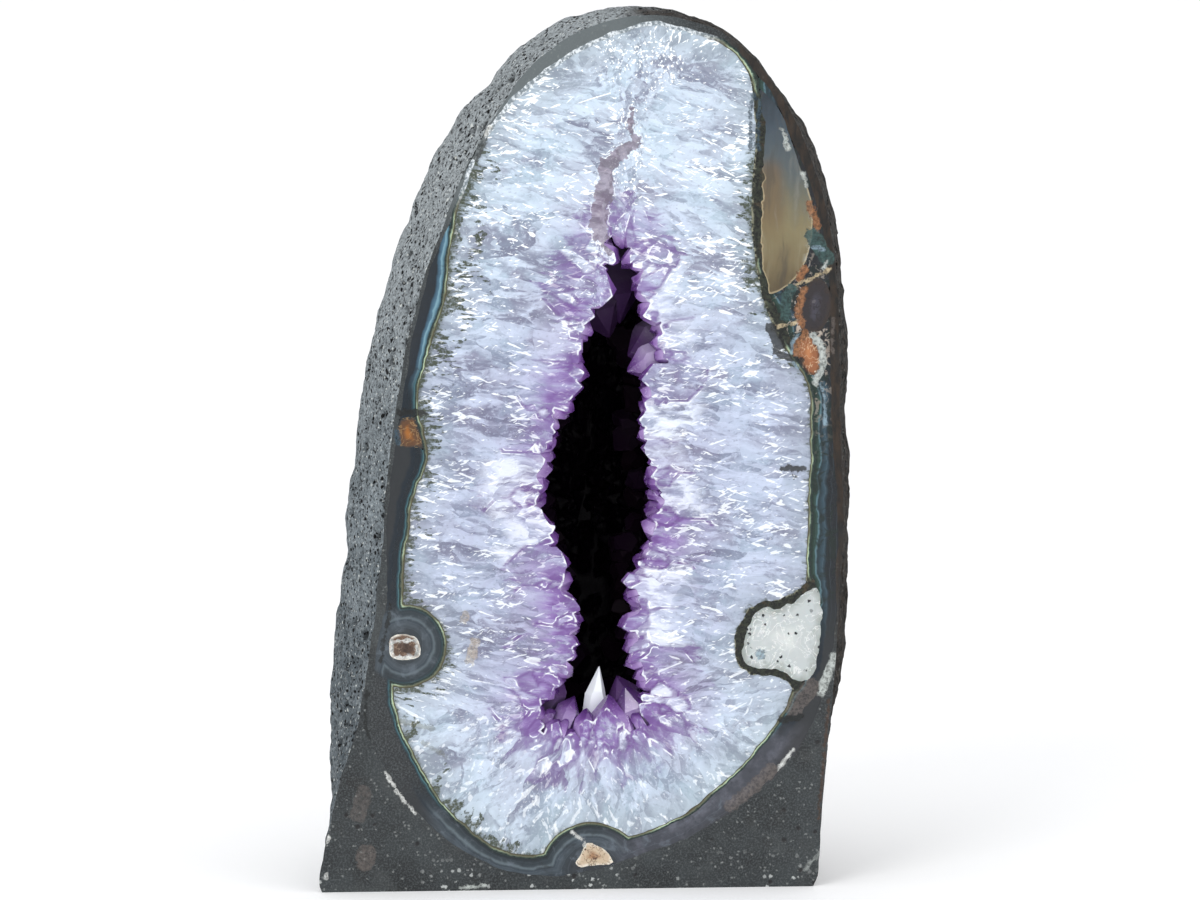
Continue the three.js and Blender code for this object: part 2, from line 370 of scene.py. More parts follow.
@dataclass(frozen=True)
class Mark:
    """A small stain, vein or chip that runs along one side of an outline.

    Attributes:
        form: the outline that it follows.
        side: the side of the outline.
        start: height of one end in millimetres.
        end: height of the other end.
        stain: its colour.
        gap: how far outside the outline it runs, inside it if negative.
        half: half its width.
        amount: how much of it shows, from 0 to 1.
        drift: how much further out its second end lies.
    """

    form: Form
    side: Side
    start: float
    end: float
    stain: Stain
    gap: float = 0.0
    half: float = 0.5
    amount: float = 0.9
    drift: float = 0.0

    def line(self) -> Array:
        """Work out the mark's middle line.

        Returns:
            Points [x, z] in millimetres, (5, 2).
        """
        loop = self.form.outline(240)
        flank = loop[normals_of(loop)[:, 0] * self.side.value > 0]
        flank = flank[np.argsort(flank[:, 1])]
        heights = np.linspace(self.start, self.end, 5)
        out = self.gap + self.drift * np.linspace(0, 1, 5)
        x = np.interp(heights, flank[:, 1], flank[:, 0]) + self.side.value * out
        return np.stack([x, heights], axis=1)


MARKS = (
    # the crown's left shoulder: a chalky chip over a grey scar
    Mark(RIND, Side.LEFT, 271, 275, Stain.CHALK, gap=2, half=0.6),
    Mark(RIND, Side.LEFT, 264, 270, Stain.IRON, gap=2, half=1.7),
    Mark(RIND, Side.LEFT, 262, 254, Stain.IRON, gap=3),
    # veins and chips down both sides of the lens
    Mark(LENS, Side.LEFT, 287, 267, Stain.SLATE, half=0.6, amount=0.8),
    Mark(LENS, Side.LEFT, 285, 267, Stain.SLATE, gap=-3, half=0.6, amount=0.75),
    Mark(LENS, Side.RIGHT, 274, 267, Stain.ASH, gap=-2, half=0.8),
    Mark(LENS, Side.RIGHT, 258, 254, Stain.ASH, half=0.7),
    Mark(LENS, Side.RIGHT, 247, 239, Stain.RUST, gap=-1, half=1.2, drift=3),
    Mark(LENS, Side.RIGHT, 236, 228, Stain.PINE, half=2.7, drift=7),
    Mark(LENS, Side.RIGHT, 232, 231, Stain.STEEL, gap=1, half=0.7, drift=4),
    Mark(LENS, Side.RIGHT, 224, 221, Stain.RUST, gap=1, half=1.4),
    Mark(RIND, Side.RIGHT, 224, 227, Stain.ASH, gap=-2, drift=2),
    # two cream veins that cross the green below it
    Mark(LENS, Side.RIGHT, 218, 224, Stain.SAND, gap=2, drift=8),
    Mark(QUARTZ, Side.RIGHT, 203, 205, Stain.SAND, gap=-1, drift=11),
    # round the dark nodule and the orange seam
    Mark(IRONSTONE, Side.LEFT, 216, 204, Stain.RUST, half=1.3),
    Mark(IRONSTONE, Side.LEFT, 217, 207, Stain.PINE, gap=5, half=2),
    Mark(CARNELIAN, Side.LEFT, 201, 193, Stain.RUST, half=1.2),
    Mark(CARNELIAN, Side.LEFT, 201, 188, Stain.STEEL, gap=2),
    Mark(CARNELIAN, Side.RIGHT, 200, 183, Stain.ASH, gap=1, half=1.2),
    Mark(QUARTZ, Side.RIGHT, 203, 197, Stain.SOOT, gap=-1, half=2),
    Mark(QUARTZ, Side.RIGHT, 194, 191, Stain.SOOT, gap=-4, half=1.2, drift=7),
    Mark(RIND, Side.RIGHT, 206, 194, Stain.TAUPE, gap=1, amount=0.6),
    Mark(QUARTZ, Side.RIGHT, 183, 168, Stain.STEEL, gap=5),
    # over and beside the amber nodule
    Mark(AMBER, Side.RIGHT, 173, 173, Stain.SOOT, gap=-6, half=1.1, drift=9),
    Mark(AMBER, Side.LEFT, 166, 162, Stain.SLATE, half=0.9, amount=0.8),
    # the pale square round the boss's core, and its dark middle
    Mark(CORE, Side.LEFT, 91, 85, Stain.CHALK, gap=-1),
    Mark(CORE, Side.RIGHT, 91, 85, Stain.CHALK, gap=-1),
    Mark(CORE, Side.RIGHT, 91, 91, Stain.CHALK, gap=-8, drift=7),
    Mark(CORE, Side.RIGHT, 85, 85, Stain.CHALK, gap=-8, drift=7),
    Mark(CORE, Side.RIGHT, 88, 88, Stain.UMBER, gap=-5, half=1.6, drift=1),
    # dark veins in the rim beside the boss, and chalky ones below it
    Mark(RIND, Side.LEFT, 104, 83, Stain.SOOT, gap=-2, amount=0.8),
    Mark(RIND, Side.LEFT, 73, 56, Stain.SOOT, gap=1),
    Mark(RIND, Side.LEFT, 43, 28, Stain.CHALK, gap=1),
    Mark(BOULDER, Side.LEFT, 36, 28, Stain.TAUPE, gap=-10, half=2.9, amount=0.3),
    Mark(BOULDER, Side.LEFT, 20, 17, Stain.CHALK, gap=-1),
    Mark(BOULDER, Side.LEFT, 14, 11, Stain.TAUPE, gap=-16, half=3.3, amount=0.45),
    Mark(BOULDER, Side.LEFT, 7, 5, Stain.CHALK, gap=-3, amount=0.8),
    Mark(BOULDER, Side.LEFT, 1, 2, Stain.ASH, gap=-52, drift=-9),
    # the white pocket and the foot below it, right
    Mark(CALCITE, Side.LEFT, 84, 85, Stain.STEEL, gap=-6, half=1.5, amount=0.8),
    Mark(RIND, Side.RIGHT, 71, 84, Stain.ASH, gap=-1, half=1.5, drift=2),
    Mark(RIND, Side.RIGHT, 65, 73, Stain.TAUPE, gap=-9, half=3, amount=0.5, drift=4),
    Mark(QUARTZ, Side.RIGHT, 61, 62, Stain.SOOT, gap=1, half=1.2, drift=6),
    Mark(RIND, Side.RIGHT, 50, 43, Stain.CHALK, gap=-2, half=0.6),
    Mark(RIND, Side.RIGHT, 43, 30, Stain.TAUPE, gap=-4, half=2.2, amount=0.5),
    Mark(BOULDER, Side.RIGHT, 68, 25, Stain.UMBER, gap=-1, amount=0.8),
    Mark(BOULDER, Side.RIGHT, 14, 6, Stain.ASH, gap=1, half=0.6, amount=0.45, drift=-7),
    # dirt in the quartz, and a pale crack beside the chip of the base
    Mark(QUARTZ, Side.RIGHT, 152, 152, Stain.SOOT, gap=-10, half=0.8, drift=8),
    Mark(QUARTZ, Side.RIGHT, 154, 149, Stain.SOOT, gap=-8, drift=3),
    Mark(QUARTZ, Side.LEFT, 100, 98, Stain.SAND, gap=-22, half=1.4, amount=0.4),
    Mark(QUARTZ, Side.LEFT, 90, 84, Stain.SAND, gap=-26, half=1.9, amount=0.45),
    Mark(QUARTZ, Side.LEFT, 62, 59, Stain.OLIVE, gap=0, half=0.9, amount=0.45, drift=-11),
    Mark(QUARTZ, Side.LEFT, 54, 49, Stain.OLIVE, gap=-5, half=0.7, amount=0.35, drift=-6),
    Mark(CAP, Side.LEFT, 21, 16, Stain.CHALK, gap=6, drift=-6),
)


@dataclass(frozen=True)
class NoiseField:
    """Repeatable smooth noise in space.

    Attributes:
        seed: picks one field of many.
    """

    seed: int

    def lattice(self, cell: Array, salt: int = 0) -> Array:
        """A number from 0 to 1 for each whole-numbered cell.

        Args:
            cell: cells, (n, 3), whole numbers.
            salt: picks another set of numbers.

        Returns:
            Numbers, (n,).
        """
        c = cell.astype(np.int64).astype(np.uint32)
        h = c[:, 0] * np.uint32(73856093) ^ c[:, 1] * np.uint32(19349663) ^ c[:, 2] * np.uint32(83492791)
        h = h ^ np.uint32((self.seed * 2654435761 + salt * 40503) % 2**32)
        for _ in range(2):
            h = (h ^ (h >> np.uint32(15))) * np.uint32(2246822519)
            h = (h ^ (h >> np.uint32(13))) * np.uint32(3266489917)
        return (h ^ (h >> np.uint32(16))).astype(float) / 2**32

    def value(self, at: Array, size: float) -> Array:
        """Smooth noise from -1 to 1.

        Args:
            at: points, (n, 3).
            size: length over which the noise changes.

        Returns:
            The noise at each point, (n,).
        """
        p = at / size
        cell = np.floor(p)
        f = p - cell
        f = f * f * f * (f * (f * 6 - 15) + 10)
        total = np.zeros(len(p))
        for corner in np.ndindex(2, 2, 2):
            weight = np.prod(np.where(np.array(corner), f, 1 - f), axis=1)
            total += weight * self.lattice(cell + corner)
        return total * 2 - 1

    def fractal(self, at: Array, size: float, octaves: int) -> Array:
        """Noise with ever finer detail.

        Args:
            at: points, (n, 3).
            size: length of the broadest change.
            octaves: number of layers, each half the size of the last.

        Returns:
            The noise at each point, about -1 to 1.
        """
        layers = (self.value(at + 31.7 * k, size / 2**k) / 2**k for k in range(octaves))
        return sum(layers) / (2 - 2 ** (1 - octaves))

    def pits(self, at: Array, spacing: float, radii: tuple[float, float], share: float) -> Array:
        """Depth of round gas bubbles that a surface cuts open.

        Args:
            at: points of the surface, (n, 3).
            spacing: size of the cells that hold one bubble each.
            radii: smallest and largest bubble.
            share: share of the cells that hold one.

        Returns:
            Depths, (n,), in the unit of the points.
        """
        cell = np.floor(at / spacing)
        depth = np.zeros(len(at))
        for step in np.ndindex(3, 3, 3):
            c = cell + np.array(step) - 1
            spot = np.stack([self.lattice(c, k) for k in (1, 2, 3)], axis=1)
            radius = radii[0] + (radii[1] - radii[0]) * self.lattice(c, 4) ** 2
            gone = self.lattice(c, 5) > share
            d = np.linalg.norm(at - (c + spot) * spacing, axis=1)
            hole = np.sqrt(np.maximum(radius**2 - d**2, 0))
            depth = np.maximum(depth, np.where(gone, 0, hole))
        return depth


# ------------------------------------------------------------------------------------ mesh making


def make_object(
    name: str, verts: Array, faces: list, values: dict[str, Array] | None = None
) -> bpy.types.Object:
    """Make a mesh object with named values on its vertices.

    Args:
        name: the object's name.
        verts: vertices in metres, (n, 3).
        faces: lists of vertex numbers.
        values: one number, (n,), or vector, (n, 3), for each vertex, by name.

    Returns:
        The object, linked to the scene.
    """
    mesh = bpy.data.meshes.new(name)
    mesh.from_pydata(verts.tolist(), [], faces)
    for key, value in (values or {}).items():
        kind = "FLOAT_VECTOR" if value.ndim == 2 else "FLOAT"
        layer = mesh.attributes.new(key, kind, "POINT")
        layer.data.foreach_set("vector" if value.ndim == 2 else "value", value.astype(np.float32).ravel())
    mesh.validate()
    mesh.update()
    made = bpy.data.objects.new(name, mesh)
    bpy.context.scene.collection.objects.link(made)
    return made


def shade(made: bpy.types.Object, smoothly: bool) -> None:
    """Shade all faces of an object smoothly or flat."""
    made.data.polygons.foreach_set("use_smooth", [smoothly] * len(made.data.polygons))


def settle(
    made: bpy.types.Object, finish: bpy.types.Material, minerals: tuple[Mineral, ...]
) -> None:
    """Dress a piece, hide the solids that it replaces and attach it to the root.

    Args:
        made: the piece.
        finish: its material.
        minerals: the solids that it replaces.
    """
    made.data.materials.append(finish)
    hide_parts(*(m.value for m in minerals))
    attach(made, "root")


def grid_faces(rows: int, around: int) -> list[tuple[int, int, int, int]]:
    """Quads of a wall made of closed rings, facing away from the wall's inside.

    Args:
        rows: number of rings.
        around: points in a ring.

    Returns:
        Vertex numbers of each quad.
    """
    r, c = np.meshgrid(np.arange(rows - 1), np.arange(around), indexing="ij")
    n = (c + 1) % around
    quads = np.stack([r * around + c, r * around + n, (r + 1) * around + n, (r + 1) * around + c], axis=-1)
    return quads.reshape(-1, 4).tolist()


@dataclass
class Face:
    """The polished face as a fine grid, and what is cut out of it.

    Attributes:
        y: where the face lies, in metres.
        shift: from the outlines' own x to the frame's x, in millimetres.
        pitch: size of a grid cell in millimetres.
        low: lowest x and z of the grid.
        high: highest x and z of the grid.
        noise: roughens the outlines.
    """

    y: float
    shift: float
    pitch: float = 0.65
    low: tuple[float, float] = (-102.0, 0.0)
    high: tuple[float, float] = (100.0, 318.0)
    noise: NoiseField = field(default_factory=lambda: NoiseField(3))

    def __post_init__(self) -> None:
        """Lay out the grid."""
        self.xs = np.arange(self.low[0], self.high[0] + self.pitch, self.pitch)
        self.zs = np.arange(self.low[1], self.high[1] + self.pitch, self.pitch)
        x, z = np.meshgrid(self.xs, self.zs)
        self.at = np.stack([x.ravel(), z.ravel()], axis=1)
        self.shape = x.shape

    def place(self, flat: Array, depth: Array | float = 0.0) -> Array:
        """Put points of the outlines' plane into the frame.

        Args:
            flat: points [x, z] in millimetres, (n, 2).
            depth: distance behind the face in millimetres.

        Returns:
            Points in metres, (n, 3).
        """
        y = self.y + np.broadcast_to(depth, len(flat)) * MM
        return np.stack([(flat[:, 0] + self.shift) * MM, y, flat[:, 1] * MM], axis=1)

    def wobble(self, size: float, height: float, salt: float = 0.0) -> Array:
        """Noise over the grid.

        Args:
            size: length over which it changes, in millimetres.
            height: largest value.
            salt: picks another pattern.

        Returns:
            Noise at the grid's points.
        """
        at = np.stack([self.at[:, 0], self.at[:, 1], np.full(len(self.at), salt)], axis=1)
        return height * self.noise.fractal(at, size, 3).reshape(self.shape)

    def distance(self, loop: Array) -> Array:
        """Signed distance to a closed loop all over the grid, worked out on a coarser grid.

        Args:
            loop: points of the loop in millimetres.

        Returns:
            Distances at the grid's points, negative inside.
        """
        step = 3
        coarse_x = np.append(self.xs[::step], self.xs[-1] + step * self.pitch)
        coarse_z = np.append(self.zs[::step], self.zs[-1] + step * self.pitch)
        x, z = np.meshgrid(coarse_x, coarse_z)
        rough = loop_distance(loop, np.stack([x.ravel(), z.ravel()], axis=1)).reshape(x.shape)
        return self._fill(coarse_x, coarse_z, rough, self.at).reshape(self.shape)

    @staticmethod
    def _fill(xs: Array, zs: Array, values: Array, at: Array) -> Array:
        """Read values between the points of a grid.

        Args:
            xs: the grid's columns.
            zs: the grid's rows.
            values: values at the grid's points.
            at: points, (n, 2).

        Returns:
            The values at the points, (n,).
        """
        i = np.clip(np.searchsorted(xs, at[:, 0]) - 1, 0, len(xs) - 2)
        j = np.clip(np.searchsorted(zs, at[:, 1]) - 1, 0, len(zs) - 2)
        u = (at[:, 0] - xs[i]) / (xs[i + 1] - xs[i])
        v = (at[:, 1] - zs[j]) / (zs[j + 1] - zs[j])
        low = values[j, i] * (1 - u) + values[j, i + 1] * u
        high = values[j + 1, i] * (1 - u) + values[j + 1, i + 1] * u
        return low * (1 - v) + high * v

    def read(self, values: Array, at: Array) -> Array:
        """Read a field of the grid at points in millimetres."""
        return self._fill(self.xs, self.zs, values, at)

    def cut_out(self, region: Array) -> tuple[Array, list]:
        """Cut the region where a field is negative out of the grid.

        Args:
            region: the field at the grid's points.

        Returns:
            Points [x, z] in millimetres and faces that look out of the face.
        """
        inside = region < 0
        corners = (inside[:-1, :-1], inside[:-1, 1:], inside[1:, 1:], inside[1:, :-1])
        full = np.logical_and.reduce(corners)
        mixed = np.logical_or.reduce(corners) & ~full
        number: dict = {}
        used = np.zeros(self.shape, bool)
        for dj, di in ((0, 0), (0, 1), (1, 1), (1, 0)):
            used[dj : dj + full.shape[0], di : di + full.shape[1]] |= full
        ids = np.full(self.shape, -1)
        ids[used] = np.arange(used.sum())
        points = self.at.reshape(*self.shape, 2)[used].tolist()
        j, i = np.nonzero(full)
        faces = np.stack([ids[j, i], ids[j, i + 1], ids[j + 1, i + 1], ids[j + 1, i]], axis=1).tolist()

        def vertex(a: tuple[int, int], b: tuple[int, int]) -> int:
            """Number of a point of the piece's outline or inside.

            Args:
                a: a grid point.
                b: the same point, or a neighbour across the border.

            Returns:
                Its number.
            """
            if a == b and ids[a] >= 0:
                return int(ids[a])
            key = (min(a, b), max(a, b))
            if key not in number:
                (ja, ia), (jb, ib) = key
                fa, fb = region[ja, ia], region[jb, ib]
                t = 0.0 if a == b else min(max(fa / (fa - fb), 0.04), 0.96)
                x = self.xs[ia] + t * (self.xs[ib] - self.xs[ia])
                z = self.zs[ja] + t * (self.zs[jb] - self.zs[ja])
                number[key] = len(points)
                points.append([x, z])
            return number[key]

        for j, i in zip(*np.nonzero(mixed)):
            ring = [(j, i), (j, i + 1), (j + 1, i + 1), (j + 1, i)]
            polygon = []
            for a, b in zip(ring, ring[1:] + ring[:1]):
                if inside[a]:
                    polygon.append(vertex(a, a))
                if inside[a] != inside[b]:
                    polygon.append(vertex(a, b))
            if len(polygon) > 2:
                faces.append(polygon)
        return np.array(points), faces


# ------------------------------------------------------------------------------------ finishes


def tone(red: float, green: float, blue: float) -> tuple[float, float, float, float]:
    """A colour from the usual 0 to 255 steps as light values.

    Args:
        red: its red.
        green: its green.
        blue: its blue.

    Returns:
        The colour, fully opaque.
    """
    steps = (c / 255 for c in (red, green, blue))
    light = tuple(c / 12.92 if c < 0.04045 else ((c + 0.055) / 1.055) ** 2.4 for c in steps)
    return (*light, 1.0)


class Graph:
    """A material's node graph, with one short method for each kind of node."""

    def __init__(self, name: str, **shader: float | tuple) -> None:
        """Start a material.

        Args:
            name: the material's name.
            **shader: values for the shader's own sockets, with _ for spaces.
        """
        self.material = bpy.data.materials.new(name)
        self.material.use_nodes = True
        self.tree = self.material.node_tree
        self.shader = self.tree.nodes["Principled BSDF"]
        for key, value in shader.items():
            self.shader.inputs[key.replace("_", " ").title().replace("Ior", "IOR")].default_value = value

    def node(self, kind: str, **settings: object) -> bpy.types.Node:
        """Add a node.

        Args:
            kind: its kind, such as TexNoise.
            **settings: its settings by name.

        Returns:
            The node.
        """
        made = self.tree.nodes.new("ShaderNode" + kind)
        for key, value in settings.items():
            setattr(made, key, value)
        return made

    def feed(self, socket: Socket, value: Socket | float | tuple | Vector) -> None:
        """Give an input a link or a value.

        Args:
            socket: the input.
            value: what it gets.
        """
        if isinstance(value, bpy.types.NodeSocket):
            self.tree.links.new(value, socket)
        else:
            socket.default_value = value

    def set(self, **inputs: Socket | float | tuple) -> None:
        """Feed the shader's sockets, named with _ for spaces."""
        for key, value in inputs.items():
            self.feed(self.shader.inputs[key.replace("_", " ").title()], value)

    def value(self, name: str) -> Socket:
        """A number that the mesh carries on its vertices."""
        return self.node("Attribute", attribute_name=name).outputs["Fac"]

    def vector(self, name: str) -> Socket:
        """A vector that the mesh carries on its vertices."""
        return self.node("Attribute", attribute_name=name).outputs["Vector"]

    def here(self) -> Socket:
        """The place on the object, in metres."""
        return self.node("TexCoord").outputs["Object"]

    def math(self, operation: str, a: Socket | float, b: Socket | float = 0.0) -> Socket:
        """One of the math node's sums of two numbers.

        Args:
            operation: its name.
            a: the first number.
            b: the second number.

        Returns:
            The result.
        """
        made = self.node("Math", operation=operation)
        self.feed(made.inputs[0], a)
        self.feed(made.inputs[1], b)
        return made.outputs[0]

    def plus(self, a: Socket | float, b: Socket | float) -> Socket:
        """The sum of two numbers."""
        return self.math("ADD", a, b)

    def minus(self, a: Socket | float, b: Socket | float) -> Socket:
        """The difference of two numbers."""
        return self.math("SUBTRACT", a, b)

    def times(self, a: Socket | float, b: Socket | float) -> Socket:
        """The product of two numbers."""
        return self.math("MULTIPLY", a, b)

    def move(self, operation: str, a: Socket | tuple, b: Socket | tuple | float) -> Socket:
        """A sum on two vectors.

        Args:
            operation: its name.
            a: the first vector.
            b: the second vector, or a number for SCALE.

        Returns:
            A vector, or a number for DOT_PRODUCT.
        """
        made = self.node("VectorMath", operation=operation)
        self.feed(made.inputs[0], a)
        self.feed(made.inputs["Scale" if operation == "SCALE" else 1], b)
        return made.outputs["Value" if operation == "DOT_PRODUCT" else "Vector"]

    def blend(self, share: Socket | float, a: Socket | tuple, b: Socket | tuple, how: str = "MIX") -> Socket:
        """Blend two colours.

        Args:
            share: how much of b shows, from 0 to 1.
            a: the colour under it.
            b: the colour laid over it.
            how: how the two are joined.

        Returns:
            The colour.
        """
        made = self.node("Mix", data_type="RGBA", blend_type=how, clamp_factor=True)
        self.feed(made.inputs["Factor"], share)
        self.feed(made.inputs[6], a)
        self.feed(made.inputs[7], b)
        return made.outputs[2]

    def step(self, value: Socket, low: float, high: float, start: float = 0.0, end: float = 1.0) -> Socket:
        """A smooth step of a number between two limits.

        Args:
            value: the number.
            low: where the step starts.
            high: where it ends.
            start: the result at the start.
            end: the result at the end.

        Returns:
            The step.
        """
        made = self.node("MapRange", interpolation_type="SMOOTHSTEP")
        self.feed(made.inputs["Value"], value)
        for key, limit in (("From Min", low), ("From Max", high), ("To Min", start), ("To Max", end)):
            made.inputs[key].default_value = limit
        return made.outputs["Result"]

    def ramp(self, share: Socket, stops: list[tuple[float, tuple]]) -> Socket:
        """A colour ramp.

        Args:
            share: number from 0 to 1.
            stops: places on the ramp with their colours.

        Returns:
            The colour.
        """
        made = self.node("ValToRGB")
        elements = made.color_ramp.elements
        while len(elements) < len(stops):
            elements.new(0.5)
        for element, (place, colour) in zip(elements, stops):
            element.position = place
            element.color = colour
        self.feed(made.inputs[0], share)
        return made.outputs["Color"]

    def noise(
        self, at: Socket, size: float, detail: float = 4.0, rough: float = 0.55, bend: float = 0.0
    ) -> Socket:
        """Noise from 0 to 1 that changes over a size in metres."""
        return self._noise(at, size, detail, rough, bend).outputs["Fac"]

    def scatter(self, at: Socket, size: float, height: float) -> Socket:
        """A small random push, as a vector, that changes over a size in metres."""
        colour = self._noise(at, size, 2.0, 0.5, 0.0).outputs["Color"]
        return self.move("SCALE", self.move("SUBTRACT", colour, (0.5, 0.5, 0.5)), 2 * height)

    def _noise(self, at: Socket, size: float, detail: float, rough: float, bend: float) -> bpy.types.Node:
        """A noise node for the two methods above.

        Args:
            at: coordinates.
            size: length over which it changes, in metres.
            detail: number of finer layers.
            rough: how strong those are.
            bend: how far it bends itself.

        Returns:
            The node.
        """
        made = self.node("TexNoise")
        self.feed(made.inputs["Vector"], at)
        numbers = {"Scale": 1 / size, "Detail": detail, "Roughness": rough, "Distortion": bend}
        for key, value in numbers.items():
            made.inputs[key].default_value = value
        return made

    def cells(self, at: Socket, size: float) -> bpy.types.Node:
        """Random cells.

        Args:
            at: coordinates.
            size: size of a cell in metres.

        Returns:
            The node.
        """
        made = self.node("TexVoronoi", feature="F1")
        self.feed(made.inputs["Vector"], at)
        made.inputs["Scale"].default_value = 1 / size
        return made

    def specks(self, at: Socket, size: float, share: float, soft: float = 0.2) -> Socket:
        """Scattered ragged specks, 1 on a speck and 0 off it.

        Args:
            at: coordinates.
            size: distance from speck to speck, in metres.
            share: share of the places that hold one.
            soft: how soft their edges are.

        Returns:
            The specks.
        """
        grains = self.cells(self.move("ADD", at, self.scatter(at, size * 0.45, size * 0.35)), size)
        seen = self.step(self.pick(grains.outputs["Color"], 2), 1 - share, 1 - share * 0.8)
        return self.times(seen, self.step(grains.outputs["Distance"], 0.25 + soft, 0.25))

    def marked(self, colour: Socket) -> Socket:
        """Lay the face's marks over a colour, with ragged edges.

        Args:
            colour: the colour under them.

        Returns:
            The colour with the marks.
        """
        ragged = self.noise(self.here(), 0.0024, 5, 0.7)
        edge = self.plus(self.value("mark_edge"), self.times(self.minus(ragged, 0.5), 0.0052))
        grain = self.blend(
            self.step(self.noise(self.here(), 0.0012, 4, 0.7), 0.34, 0.62),
            tone(150, 150, 150),
            tone(255, 255, 255),
        )
        own = self.blend(1.0, self.vector("mark_colour"), grain, "MULTIPLY")
        return self.blend(
            self.times(self.step(edge, 0.0003, -0.0002), self.value("mark_amount")), colour, own
        )

    def pick(self, colour: Socket, channel: int = 0) -> Socket:
        """One channel of a colour as a number.

        Args:
            colour: the colour.
            channel: 0 for red, 1 for green, 2 for blue.

        Returns:
            The number.
        """
        made = self.node("SeparateColor")
        self.feed(made.inputs[0], colour)
        return made.outputs[channel]

    def bump(
        self, height: Socket, depth: float, strength: float = 1.0, under: Socket | None = None
    ) -> Socket:
        """A surface relief.

        Args:
            height: height from 0 to 1.
            depth: what a height of 1 measures, in metres.
            strength: share of the relief that shows.
            under: another relief that this one lies on.

        Returns:
            The relief's normal.
        """
        made = self.node("Bump")
        made.inputs["Strength"].default_value = strength
        made.inputs["Distance"].default_value = depth
        self.feed(made.inputs["Height"], height)
        if under:
            self.feed(made.inputs["Normal"], under)
        return made.outputs["Normal"]


